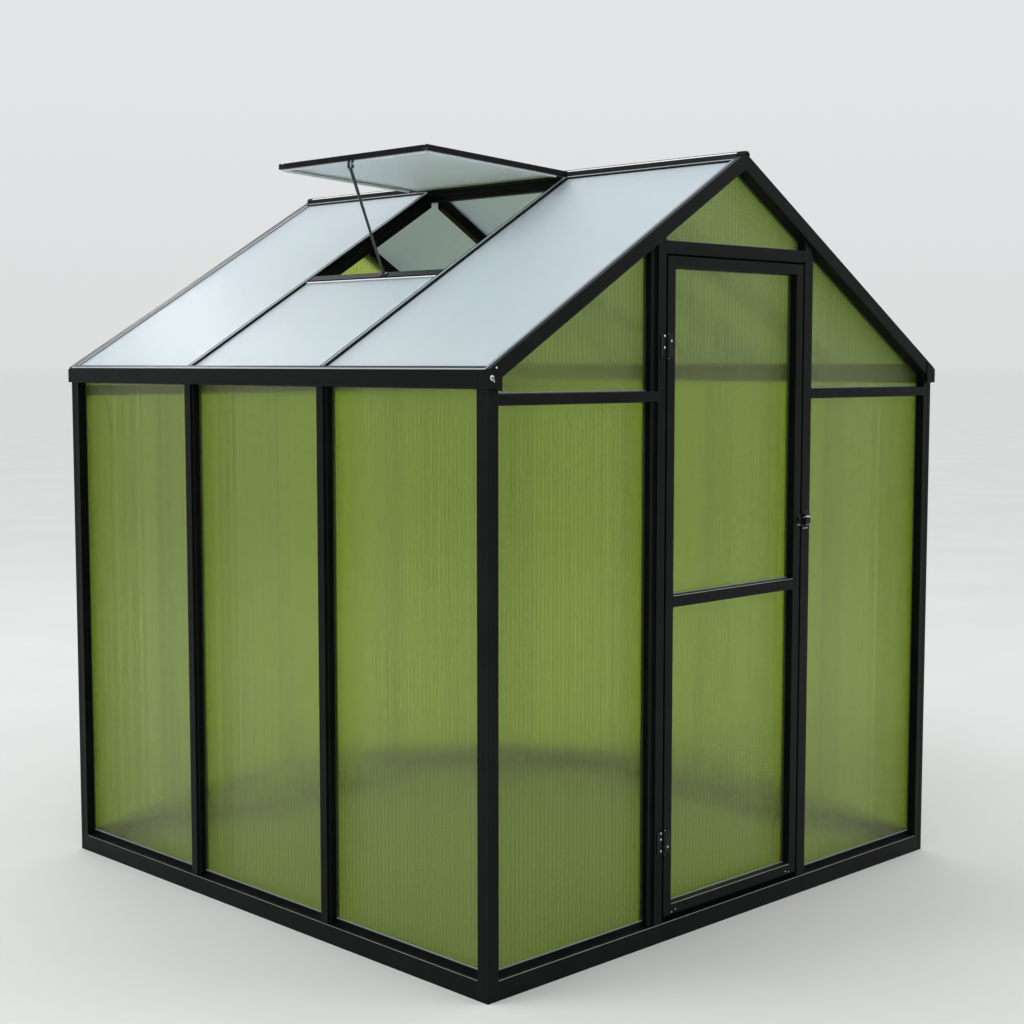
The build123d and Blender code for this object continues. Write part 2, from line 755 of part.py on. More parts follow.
# Vent sill: a flat bar across the vent bay that holds the sheet below it
sill_profile = [
    (0, sill_drop),
    (sill_width - edge_round, sill_drop),
    (sill_width, sill_drop + edge_round),
    (sill_width, sheet_cover),
    (sill_width - slot_reach, sheet_cover),
    (sill_width - slot_reach, sheet_floor),
    (sill_width, sheet_floor),
    (sill_width, sheet_floor + sill_body),
    (0, sheet_floor + sill_body),
]
bay_half = vent_bay - play

with BuildPart() as vent_sill:
    with BuildSketch(
        Plane(
            origin=(-sill_slope * pitch_cos, bay_half, apex_height - sill_slope * pitch_sin),
            x_dir=(-pitch_cos, 0, -pitch_sin),
            z_dir=(0, -1, 0),
        )
    ):
        Polygon(*sill_profile, align=None)
    extrude(amount=2 * bay_half)
vent_sill.part.label = "vent_sill"
export_step(vent_sill.part, "parts/vent_sill.step")

# Vent hinge rail: the ridge cap of the vent bay, with the bead of the hinge
lip_inner = ridge_flange - lip_foot
lip_seat = sheet_floor - play
pivot_lip = [
    (-crown_half, crown_top),
    (vent_pivot_x + 0.4 * bead_radius, vent_pivot_z + 0.9 * bead_radius),
    (vent_pivot_x - 0.2 * bead_radius, vent_pivot_z),
    (vent_pivot_x + 0.8 * bead_radius, vent_pivot_z - 0.3 * bead_radius),
    (-ridge_flange, vent_pivot_z + 1.4 * bead_radius),
    (-ridge_flange, roof_z(ridge_flange, lip_seat)),
    (-lip_inner, roof_z(lip_inner, lip_seat)),
    (-lip_inner, roof_z(lip_inner, sheet_cover)),
    (-bar_web / 2, web_top),
    *crown_slope,
]
sash_half = sash_width / 2

with BuildPart() as vent_hinge_rail:
    with BuildSketch(across_house(bay_half)):
        Polygon(*pivot_lip, align=None)
        with Locations((vent_pivot_x, vent_pivot_z)):
            Circle(bead_radius)
    extrude(amount=2 * bay_half)
vent_hinge_rail.part.label = "vent_hinge_rail"
export_step(vent_hinge_rail.part, "parts/vent_hinge_rail.step")

# Sash frame: slotted rails round the vent sheet, the hinge rail with a hook
# that turns on the bead
lift_cos = cos(radians(sash_lift))
lift_sin = sin(radians(sash_lift))
hook_reach = bead_radius + play + hook_wall
hook_mouth = 2 * hook_reach
sash_start = hook_reach + hook_gap


def sash_point(along, up, y=0.0):
    """A point of the open sash: along it from its hinge side, up from its underside."""
    reach = sash_start + along
    rise = up - pivot_drop
    return (
        vent_pivot_x - reach * lift_cos + rise * lift_sin,
        y,
        vent_pivot_z + reach * lift_sin + rise * lift_cos,
    )


def across_sash(y):
    """Plane across the sash's hinge side: along the sash, then up from it."""
    return Plane(origin=sash_point(0, 0, y), x_dir=(-lift_cos, 0, lift_sin), z_dir=(0, 1, 0))


panel_top = panel_gap + sheet + 2 * play
sash_profile = [
    (0, 0),
    (sash_under, 0),
    (sash_under, panel_gap),
    (panel_seat, panel_gap),
    (panel_seat, panel_top),
    (sash_rail, panel_top),
    (sash_rail, panel_top + sash_lip),
    (sash_rail - sash_slant, sash_height),
    (bar_cap_round, sash_height),
    (0, sash_height - bar_cap_round),
]
end_rail_half = sash_half - sash_rail - play
hook_half = vent_bay - sheet / 3

with BuildPart() as vent_sash_frame:
    with BuildSketch(across_sash(-hook_half)):
        with Locations((-sash_start, pivot_drop)):
            Circle(hook_reach)
            with Locations((bead_radius + hook_wall, 0)):
                Rectangle(hook_wall, hook_neck, align=(Align.MIN, Align.CENTER))
            Circle(bead_radius + play, mode=Mode.SUBTRACT)
            Polygon(
                (0, 0),
                (-hook_mouth / 4, hook_mouth),
                (-hook_mouth, hook_mouth),
                (-hook_mouth, -hook_mouth / 2),
                align=None,
                mode=Mode.SUBTRACT,
            )
    extrude(amount=2 * hook_half)
    with BuildSketch(across_sash(-end_rail_half)):
        Polygon(*sash_profile, align=None)
        Polygon(*[(sash_length - u, v) for u, v in sash_profile], align=None)
    extrude(amount=2 * end_rail_half)
    with BuildSketch(
        Plane(
            origin=sash_point(0, 0, -sash_half),
            x_dir=(0, 1, 0),
            z_dir=(lift_cos, 0, -lift_sin),
        )
    ):
        Polygon(*sash_profile, align=None)
        Polygon(*[(sash_width - u, v) for u, v in sash_profile], align=None)
    extrude(amount=-sash_length)
vent_sash_frame.part.label = "vent_sash_frame"
export_step(vent_sash_frame.part, "parts/vent_sash_frame.step")

# Vent sheet in the slots of the sash
vent_edge = panel_seat + slot_floor

with BuildPart() as vent_panel:
    with BuildSketch(across_sash(-sash_half + vent_edge)):
        with Locations((vent_edge, panel_gap + play)):
            Rectangle(sash_length - 2 * vent_edge, sheet, align=(Align.MIN, Align.MIN))
    extrude(amount=sash_width - 2 * vent_edge)
vent_panel.part.label = "vent_panel"
export_step(vent_panel.part, "parts/vent_panel.step")

# Vent stay: a tapered rod from a foot on the sill to a fork under the sash
foot_slope = sill_slope + sill_width / 2
foot_top = foot_height + play - sill_drop
stay_foot = Vector(
    -foot_slope * pitch_cos - foot_top * pitch_sin,
    stay_foot_y,
    apex_height - foot_slope * pitch_sin + foot_top * pitch_cos,
)
fork_along = sash_length - fork_inset - fork_depth
stay_top = Vector(*sash_point(fork_along + fork_depth / 2, -fork_height - play, stay_top_y))
stay_line = stay_top - stay_foot

with BuildPart() as vent_stay:
    with BuildSketch(Plane(origin=stay_foot, z_dir=stay_line)):
        Circle(rod_foot_radius)
    with BuildSketch(Plane(origin=stay_top + stay_line.normalized() * fork_strip / 2, z_dir=stay_line)):
        Circle(rod_top_radius)
    loft()
    with BuildSketch(
        Plane(
            origin=sash_point(fork_along, -play, stay_top_y),
            x_dir=(0, 1, 0),
            z_dir=(lift_cos, 0, -lift_sin),
        )
    ):
        Rectangle(fork_width, fork_height, align=(Align.CENTER, Align.MAX))
        Rectangle(
            fork_width - 2 * fork_strip,
            fork_height - fork_strip,
            align=(Align.CENTER, Align.MAX),
            mode=Mode.SUBTRACT,
        )
    extrude(amount=-fork_depth)
    with BuildSketch(left_slope(stay_foot)):
        RectangleRounded(*foot_plate, foot_corner)
    extrude(amount=-foot_height)
    with BuildSketch(left_slope(stay_foot)):
        RectangleRounded(*boss_plate, boss_corner)
    extrude(amount=boss_height)
vent_stay.part.label = "vent_stay"
export_step(vent_stay.part, "parts/vent_stay.step")

# Sheets of the side walls
side_sheet_plane = Plane(origin=(-half_width + recess, 0, 0), x_dir=(0, 1, 0), z_dir=(1, 0, 0))
sheet_foot = base_face + slot_floor
mullion_grip = body_half - lap
side_bays = [
    (-half_length + rear_slot, -mullion_offset - mullion_grip),
    (-mullion_offset + mullion_grip, mullion_offset - mullion_grip),
    (mullion_offset + mullion_grip, half_length - rear_slot),
]

with BuildPart() as left_wall_panels:
    with BuildSketch(side_sheet_plane):
        for bay_start, bay_end in side_bays:
            with Locations((bay_start, sheet_foot)):
                Rectangle(
                    bay_end - bay_start,
                    eave_bottom + lap - sheet_foot,
                    align=(Align.MIN, Align.MIN),
                )
    extrude(amount=sheet)
left_wall_panels.part.label = "left_wall_panels"
export_step(left_wall_panels.part, "parts/left_wall_panels.step")

with BuildPart() as right_wall_panels:
    add(left_wall_panels.part)
    mirror(about=Plane.YZ, mode=Mode.REPLACE)
right_wall_panels.part.label = "right_wall_panels"
export_step(right_wall_panels.part, "parts/right_wall_panels.step")

# Sheets of the two gables, below and above the gable rails
gable_sheet_plane = front_elevation.offset(-recess)
sheet_side = half_width - recess
low_sheet_top = gable_rail_bottom + rail_lap
high_sheet_foot = gable_rail_top - rail_lap
front_left_edge = left_stud_edge + lap
front_right_edge = right_stud_edge - lap
rake_grip = rake_height - lap
rear_outer_edge = rear_stud_offset + mullion_grip
rear_inner_edge = rear_stud_offset - mullion_grip


def low_sheet(start, end):
    """A sheet between the base rail and the gable rail."""
    return Polygon(
        (start, sheet_foot),
        (end, sheet_foot),
        (end, low_sheet_top),
        (start, low_sheet_top),
        align=None,
    )


def high_sheet(start, end, foot):
    """A sheet that ends in the slots of the rakes, with a peak if it spans the ridge."""
    peak = [(0, roof_z(0, rake_grip))] if start < 0 < end else []
    return Polygon(
        (start, foot),
        (end, foot),
        (end, roof_z(end, rake_grip)),
        *peak,
        (start, roof_z(start, rake_grip)),
        align=None,
    )


with BuildPart() as front_wall_panels:
    with BuildSketch(gable_sheet_plane):
        low_sheet(-sheet_side, front_left_edge)
        low_sheet(front_right_edge, sheet_side)
    extrude(amount=-sheet)
front_wall_panels.part.label = "front_wall_panels"
export_step(front_wall_panels.part, "parts/front_wall_panels.step")

with BuildPart() as front_gable_panels:
    with BuildSketch(gable_sheet_plane):
        high_sheet(-sheet_side, front_left_edge, high_sheet_foot)
        high_sheet(doorway_left + play, doorway_right - play, header_top - lap)
        high_sheet(front_right_edge, sheet_side, high_sheet_foot)
    extrude(amount=-sheet)
front_gable_panels.part.label = "front_gable_panels"
export_step(front_gable_panels.part, "parts/front_gable_panels.step")

with BuildPart() as rear_wall_panels:
    with BuildSketch(gable_sheet_plane):
        low_sheet(-sheet_side, -rear_outer_edge)
        low_sheet(-rear_inner_edge, rear_inner_edge)
        low_sheet(rear_outer_edge, sheet_side)
    extrude(amount=-sheet)
    mirror(about=Plane.XZ, mode=Mode.REPLACE)
rear_wall_panels.part.label = "rear_wall_panels"
export_step(rear_wall_panels.part, "parts/rear_wall_panels.step")

with BuildPart() as rear_gable_panels:
    with BuildSketch(gable_sheet_plane):
        high_sheet(-sheet_side, -rear_outer_edge, high_sheet_foot)
        high_sheet(-rear_inner_edge, rear_inner_edge, high_sheet_foot)
        high_sheet(rear_outer_edge, sheet_side, high_sheet_foot)
    extrude(amount=-sheet)
    mirror(about=Plane.XZ, mode=Mode.REPLACE)
rear_gable_panels.part.label = "rear_gable_panels"
export_step(rear_gable_panels.part, "parts/rear_gable_panels.step")

# Sheets of the roof: three on each slope, the middle one of the left slope
# cut short at the vent sill
roof_sheet_end = (half_width - eave_seat - slot_floor) / pitch_cos
web_gap = bar_web / 2 + slot_floor
roof_bays = [
    (-half_length + slot_floor, -mullion_offset - web_gap),
    (-mullion_offset + web_gap, mullion_offset - web_gap),
    (mullion_offset + web_gap, half_length - slot_floor),
]
vent_sheet_start = sill_slope + sill_width - lap


def roof_sheets(bay_starts):
    """Sheets of the left slope, each from its own distance down the slope."""
    with BuildPart() as sheets:
        with BuildSketch(left_slope().offset(-sheet_cover - play - sheet)):
            for (bay_start, bay_end), top in zip(roof_bays, bay_starts):
                with Locations((top, -bay_end)):
                    Rectangle(
                        roof_sheet_end - top,
                        bay_end - bay_start,
                        align=(Align.MIN, Align.MIN),
                    )
        extrude(amount=sheet)
    return sheets.part


with BuildPart() as left_roof_panels:
    add(roof_sheets([ridge_gap, vent_sheet_start, ridge_gap]))
left_roof_panels.part.label = "left_roof_panels"
export_step(left_roof_panels.part, "parts/left_roof_panels.step")

with BuildPart() as right_roof_panels:
    add(roof_sheets([ridge_gap, ridge_gap, ridge_gap]))
    mirror(about=Plane.YZ, mode=Mode.REPLACE)
right_roof_panels.part.label = "right_roof_panels"
export_step(right_roof_panels.part, "parts/right_roof_panels.step")

# Eave corner brackets: folded plates over the ends of rakes and eave beams
bracket_edge = half_width + eave_proud
bracket_end = half_width - bracket_reach
bracket_face = half_length + overhang + play + bracket_wall
bracket_top = roof_z(bracket_edge, bracket_cover)

with BuildPart() as eave_corner_brackets:
    with BuildSketch(across_house(-bracket_face)):
        Polygon(
            (-bracket_edge, eave_bottom),
            (-bracket_edge + bracket_flat, eave_bottom),
            (-bracket_end, eave_bottom - bracket_drop),
            (-bracket_end, roof_z(bracket_end, bracket_cover)),
            (-bracket_edge, bracket_top),
            align=None,
        )
    extrude(amount=-bracket_wall)
    with BuildSketch(Plane(origin=(-bracket_edge, 0, 0), x_dir=(0, 1, 0), z_dir=(1, 0, 0))):
        with Locations((-bracket_face, eave_bottom)):
            Rectangle(
                bracket_face - wall_end - play,
                bracket_top - eave_bottom,
                align=(Align.MIN, Align.MIN),
            )
    extrude(amount=eave_proud - play)
    mirror(about=Plane.YZ)
    mirror(about=Plane.XZ)
eave_corner_brackets.part.label = "eave_corner_brackets"
export_step(eave_corner_brackets.part, "parts/eave_corner_brackets.step")

# Door leaf: stiles and rails with slots for two sheets
leaf_left = doorway_left + door_gap
leaf_right = doorway_right - door_gap
leaf_front_slot = leaf_recess - play
leaf_rear_slot = leaf_recess + sheet + play
stile_profile = [
    (0, edge_round),
    (edge_round, 0),
    (stile_face - edge_round, 0),
    (stile_face, edge_round),
    (stile_face, leaf_front_slot),
    (stile_face - slot_reach, leaf_front_slot),
    (stile_face - slot_reach, leaf_rear_slot),
    (stile_face, leaf_rear_slot),
    (stile_face, leaf_depth),
    (0, leaf_depth),
]

with BuildPart() as door_stiles:
    with BuildSketch(front_plan(leaf_foot)):
        Polygon(*[(leaf_left + u, v) for u, v in stile_profile], align=None)
        Polygon(*[(leaf_right - u, v) for u, v in stile_profile], align=None)
    extrude(amount=leaf_head - leaf_foot)
door_stiles.part.label = "door_stiles"
export_step(door_stiles.part, "parts/door_stiles.step")

end_rail_profile = [
    (0, edge_round),
    (edge_round, 0),
    (leaf_depth, 0),
    (leaf_depth, door_rail),
    (leaf_rear_slot, door_rail),
    (leaf_rear_slot, door_rail - slot_reach),
    (leaf_front_slot, door_rail - slot_reach),
    (leaf_front_slot, door_rail),
    (edge_round, door_rail),
    (0, door_rail - edge_round),
]
rail_left = leaf_left + stile_face + play
rail_run = leaf_right - leaf_left - 2 * (stile_face + play)

with BuildPart() as door_rails:
    with BuildSketch(front_wall(rail_left)):
        Polygon(*[(v, leaf_foot + u) for v, u in end_rail_profile], align=None)
        Polygon(*[(v, leaf_head - u) for v, u in end_rail_profile], align=None)
        with Locations((0, mid_rail_bottom)):
            Rectangle(leaf_depth, mid_rail_height, align=(Align.MIN, Align.MIN))
        for slot_z in (mid_rail_bottom, mid_rail_top - slot_reach):
            with Locations((leaf_front_slot, slot_z)):
                Rectangle(
                    sheet + 2 * play,
                    slot_reach,
                    align=(Align.MIN, Align.MIN),
                    mode=Mode.SUBTRACT,
                )
    extrude(amount=rail_run)
door_rails.part.label = "door_rails"
export_step(door_rails.part, "parts/door_rails.step")

with BuildPart() as door_panels:
    with BuildSketch(front_elevation.offset(-leaf_recess)):
        with Locations((leaf_left + stile_face - lap, leaf_foot + door_rail - lap)):
            Rectangle(
                leaf_right - leaf_left - 2 * (stile_face - lap),
                mid_rail_bottom + lap - (leaf_foot + door_rail - lap),
                align=(Align.MIN, Align.MIN),
            )
        with Locations((leaf_left + stile_face - lap, mid_rail_top - lap)):
            Rectangle(
                leaf_right - leaf_left - 2 * (stile_face - lap),
                leaf_head - door_rail + lap - (mid_rail_top - lap),
                align=(Align.MIN, Align.MIN),
            )
    extrude(amount=-sheet)
door_panels.part.label = "door_panels"
export_step(door_panels.part, "parts/door_panels.step")

# Hinges: the frame leaf carries two knuckles and the pin, the door leaf one
pin_x = doorway_left + door_gap / 2
pin_y = -half_length - pin_stand_off
hinge_half = hinge_height / 2
leaf_clear = knuckle_radius + hinge_overlap


def hinge_plan(level):
    """Level plane on the hinge pin: across the gable, then depth."""
    return Plane(origin=(pin_x, pin_y, level), x_dir=(1, 0, 0), z_dir=(0, 0, 1))


with BuildPart() as hinge_leaves_frame:
    for hinge_z in (lower_hinge, upper_hinge):
        with BuildSketch(hinge_plan(hinge_z - hinge_half)):
            with Locations((-leaf_clear, pin_stand_off)):
                Rectangle(hinge_wing - leaf_clear, hinge_wall, align=(Align.MAX, Align.MAX))
        extrude(amount=hinge_height)
        for start, end in ((-hinge_half, -knuckle_third - play), (knuckle_third + play, hinge_half)):
            with BuildSketch(hinge_plan(hinge_z + start)):
                Circle(knuckle_radius)
                with Locations((0, pin_stand_off)):
                    Rectangle(leaf_clear + hinge_overlap, hinge_wall, align=(Align.MAX, Align.MAX))
            extrude(amount=end - start)
        with BuildSketch(hinge_plan(hinge_z - hinge_half - pin_end)):
            Circle(pin_radius)
        extrude(amount=hinge_height + 2 * pin_end)
hinge_leaves_frame.part.label = "hinge_leaves_frame"
export_step(hinge_leaves_frame.part, "parts/hinge_leaves_frame.step")

with BuildPart() as hinge_leaves_door:
    for hinge_z in (lower_hinge, upper_hinge):
        with BuildSketch(hinge_plan(hinge_z - hinge_half)):
            with Locations((leaf_clear, pin_stand_off)):
                Rectangle(hinge_wing - leaf_clear, hinge_wall, align=(Align.MIN, Align.MAX))
        extrude(amount=hinge_height)
        with BuildSketch(hinge_plan(hinge_z - knuckle_third)):
            Circle(knuckle_radius)
            with Locations((0, pin_stand_off)):
                Rectangle(leaf_clear + hinge_overlap, hinge_wall, align=(Align.MIN, Align.MAX))
            Circle(pin_radius + pin_clearance, mode=Mode.SUBTRACT)
        extrude(amount=2 * knuckle_third)
hinge_leaves_door.part.label = "hinge_leaves_door"
export_step(hinge_leaves_door.part, "parts/hinge_leaves_door.step")

# Latch on the stud and its keeper on the stile of the door: a plate and a
# block on each
with BuildPart() as door_latch:
    with BuildSketch(front_elevation):
        with Locations((doorway_right + latch_inset, latch_level)):
            Rectangle(*latch_plate, align=(Align.MIN, Align.CENTER))
    extrude(amount=latch_wall)
    with BuildSketch(front_elevation):
        with Locations((doorway_right + latch_inset + latch_plate[0] / 2, latch_level)):
            Rectangle(*latch_body)
    extrude(amount=latch_depth)
    fillet(door_latch.faces().sort_by(Axis.Y)[0].edges(), radius=latch_round)
door_latch.part.label = "door_latch"
export_step(door_latch.part, "parts/door_latch.step")

with BuildPart() as latch_keeper:
    with BuildSketch(front_elevation):
        with Locations((leaf_right - latch_inset, latch_level)):
            Rectangle(*keeper_plate, align=(Align.MAX, Align.CENTER))
    extrude(amount=latch_wall)
    with BuildSketch(front_elevation):
        with Locations((leaf_right - latch_inset - keeper_plate[0] / 2, latch_level)):
            Rectangle(*keeper_body)
    extrude(amount=keeper_depth)
    chamfer(latch_keeper.faces().sort_by(Axis.Y)[0].edges(), length=keeper_bevel)
latch_keeper.part.label = "latch_keeper"
export_step(latch_keeper.part, "parts/latch_keeper.step")
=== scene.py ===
import bmesh
import bpy
import math
from mathutils import Matrix, Vector


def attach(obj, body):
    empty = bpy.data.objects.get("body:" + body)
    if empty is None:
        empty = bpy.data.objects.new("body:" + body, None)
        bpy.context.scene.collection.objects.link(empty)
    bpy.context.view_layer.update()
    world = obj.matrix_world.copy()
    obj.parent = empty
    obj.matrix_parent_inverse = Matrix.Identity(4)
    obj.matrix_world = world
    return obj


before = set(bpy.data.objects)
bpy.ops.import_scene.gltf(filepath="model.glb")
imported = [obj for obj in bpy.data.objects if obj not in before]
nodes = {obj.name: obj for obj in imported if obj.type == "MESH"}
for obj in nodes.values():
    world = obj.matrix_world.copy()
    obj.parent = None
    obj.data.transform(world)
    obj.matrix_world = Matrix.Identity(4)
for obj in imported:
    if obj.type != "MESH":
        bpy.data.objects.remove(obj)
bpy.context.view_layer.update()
scene = bpy.context.scene

# Sizes of the frame that the small parts sit on, in metres
GABLE = 0.925  # from the middle to the outer face of each gable
WALL = 0.938  # from the middle to the outer face of each side wall
PITCH = math.radians(31.2)  # slope of the roof
APEX = 2.075  # top of the rakes at the ridge
RAKE = 0.038  # height of the rakes, square to the slope
POST = 0.036  # width of each arm of the corner posts
SHEET = 0.028  # from an outer face in to its sheets
LIP_TOP = 0.062  # top of the base rails' lips
EAVE_FOOT = 1.4610  # underside of the eave beams
RAIL = (1.4219, 1.4479)  # foot and top of the gable rails
STUDS = (-0.356, -0.307, 0.285, 0.334)  # edges of the door studs
HEADER = (1.798, 1.831)  # foot and top of the header
LEAF = (-0.300, 0.278)  # edges of the door leaf
LATCH = 1.081  # middle of the latch
PIN = (-0.3035, -GABLE - 0.0050)  # axis of the hinge pins, across and along the house
PIN_HALF = 0.032  # half the length of the pins
HINGES = (0.269, 1.563)  # middles of the hinges
BAY = 0.300  # from the middle to each side mullion and to each roof bar
MULLION = (0.280, 0.320)  # edges of those mullions, from the middle
REAR_STUD = (0.293, 0.333)  # edges of the rear studs, from the middle
LEAF_STILE = 0.030  # width of the leaf's stiles
LEAF_SHEET = 0.024  # from the leaf's outer face in to its sheets
LEAF_SHEETS = ((0.096, 0.886), (0.916, 1.764))  # feet and tops of the leaf's sheets
BRACKET_FACE = GABLE + 0.0125  # outer faces of the eave corner brackets
BRACKET_BOLT = (0.9346, 1.4856)  # their bolts, from the middle and above the ground
BRACKET_SCREWS = ((0.9203, 1.5090, 0.0026), (0.9283, 1.4776, 0.0024))  # the same, and radii
HINGE_FACE = GABLE + 0.0025  # outer face of the hinge leaves
SHEET_DROP = 0.0060  # top plane of the roof down to just below the top of its sheets
FLANGE = 0.913  # from the middle to the inner edges of the rakes' flanges
EAVE_END = 0.8849  # from the middle to the ends of the eave flanges


# Materials

def new_material(name):
    """An empty node material with one principled shader."""
    mat = bpy.data.materials.new(name)
    mat.use_nodes = True
    tree = mat.node_tree
    tree.nodes.clear()
    out = tree.nodes.new("ShaderNodeOutputMaterial")
    shader = tree.nodes.new("ShaderNodeBsdfPrincipled")
    tree.links.new(shader.outputs["BSDF"], out.inputs["Surface"])
    return mat, tree, shader


def object_coords(tree, scale=(1, 1, 1)):
    """Object coordinates in metres, stretched by a scale for each axis."""
    coords = tree.nodes.new("ShaderNodeTexCoord")
    mapping = tree.nodes.new("ShaderNodeMapping")
    mapping.inputs["Scale"].default_value = scale
    tree.links.new(coords.outputs["Object"], mapping.inputs["Vector"])
    return mapping.outputs["Vector"]


def noise(tree, vector, scale, detail=3.0, roughness=0.5):
    """Fractal noise in metres: its scale is in cycles per metre."""
    node = tree.nodes.new("ShaderNodeTexNoise")
    node.inputs["Scale"].default_value = scale
    node.inputs["Detail"].default_value = detail
    node.inputs["Roughness"].default_value = roughness
    tree.links.new(vector, node.inputs["Vector"])
    return node.outputs["Fac"]


def ramp(tree, factor, stops):
    """Colour ramp through (place, colour) stops."""
    node = tree.nodes.new("ShaderNodeValToRGB")
    elements = node.color_ramp.elements
    while len(elements) < len(stops):
        elements.new(0.5)
    for element, (place, colour) in zip(elements, stops):
        element.position = place
        element.color = (*colour, 1.0)
    tree.links.new(factor, node.inputs["Fac"])
    return node.outputs["Color"]


def spread(tree, factor, low, high):
    """A factor of 0 to 1 spread over a range."""
    node = tree.nodes.new("ShaderNodeMapRange")
    node.inputs["To Min"].default_value = low
    node.inputs["To Max"].default_value = high
    tree.links.new(factor, node.inputs["Value"])
    return node.outputs["Result"]


def bump(tree, height, distance, strength=1.0, normal=None):
    """Bump from a height of 0 to 1 over a real distance in metres."""
    node = tree.nodes.new("ShaderNodeBump")
    node.inputs["Distance"].default_value = distance
    node.inputs["Strength"].default_value = strength
    tree.links.new(height, node.inputs["Height"])
    if normal:
        tree.links.new(normal, node.inputs["Normal"])
    return node.outputs["Normal"]


def soft_edges(tree, radius):
    """Normal that rounds sharp edges, and a mask that is 1 along them."""
    bevel = tree.nodes.new("ShaderNodeBevel")
    bevel.samples = 4
    bevel.inputs["Radius"].default_value = radius
    geometry = tree.nodes.new("ShaderNodeNewGeometry")
    same = tree.nodes.new("ShaderNodeVectorMath")
    same.operation = "DOT_PRODUCT"
    tree.links.new(bevel.outputs["Normal"], same.inputs[0])
    tree.links.new(geometry.outputs["Normal"], same.inputs[1])
    mask = tree.nodes.new("ShaderNodeMapRange")
    mask.inputs["From Min"].default_value = 0.995
    mask.inputs["From Max"].default_value = 0.80
    tree.links.new(same.outputs["Value"], mask.inputs["Value"])
    return bevel.outputs["Normal"], mask.outputs["Result"]


def mixed(tree, factor, low, high, blend="MIX"):
    """Mix of two colours, each a colour or a socket; with no factor it is whole."""
    node = tree.nodes.new("ShaderNodeMix")
    node.data_type = "RGBA"
    node.blend_type = blend
    if factor is None:
        node.inputs["Factor"].default_value = 1.0
    else:
        tree.links.new(factor, node.inputs["Factor"])
    # inputs 6 and 7 and output 2 are the colour sockets of the mix
    for socket, value in ((node.inputs[6], low), (node.inputs[7], high)):
        if isinstance(value, tuple):
            socket.default_value = (*value, 1.0)
        else:
            tree.links.new(value, socket)
    return node.outputs[2]


def coated_metal(name, dark, light, edge_wear_and_sheen, rough=(0.24, 0.36), grain=900.0, edge=0.0009, gloss=0.07):
    """Powder-coated metal: faint mottling, orange peel, and edges made paler, partly as rubbed wear
    and partly as a painted edge highlight.
    """
    mat, tree, shader = new_material(name)
    vector = object_coords(tree)
    clouds = noise(tree, vector, 9.0, detail=5.0, roughness=0.6)
    peel = noise(tree, vector, grain, detail=2.0)
    rubbed = noise(tree, vector, 45.0, detail=6.0, roughness=0.7)
    normal, mask = soft_edges(tree, edge)
    # paler edges through noise: partly rubbed wear, partly a painted highlight where edges catch
    # the light
    wear_and_sheen_mask = tree.nodes.new("ShaderNodeMath")
    wear_and_sheen_mask.operation = "MULTIPLY"
    tree.links.new(mask, wear_and_sheen_mask.inputs[0])
    tree.links.new(spread(tree, rubbed, 0.1, 0.9), wear_and_sheen_mask.inputs[1])
    coat = ramp(tree, clouds, [(0.3, dark), (0.75, light)])
    tree.links.new(mixed(tree, wear_and_sheen_mask.outputs["Value"], coat, edge_wear_and_sheen), shader.inputs["Base Color"])
    tree.links.new(spread(tree, peel, *rough), shader.inputs["Roughness"])
    tree.links.new(bump(tree, peel, 0.00008, 0.6, normal), shader.inputs["Normal"])
    shader.inputs["IOR"].default_value = 1.5
    shader.inputs["Specular IOR Level"].default_value = gloss
    return mat


def bright_metal(name, colour, rough=(0.18, 0.34), scratch=(40.0, 40.0, 1200.0)):
    """Plated steel with fine drawn scratches."""
    mat, tree, shader = new_material(name)
    vector = object_coords(tree, scratch)
    lines = noise(tree, vector, 1.0, detail=4.0)
    darker = tuple(0.7 * c for c in colour)
    tree.links.new(ramp(tree, lines, [(0.25, darker), (0.8, colour)]), shader.inputs["Base Color"])
    tree.links.new(spread(tree, lines, *rough), shader.inputs["Roughness"])
    tree.links.new(bump(tree, lines, 0.00003, 0.5), shader.inputs["Normal"])
    shader.inputs["Metallic"].default_value = 1.0
    return mat


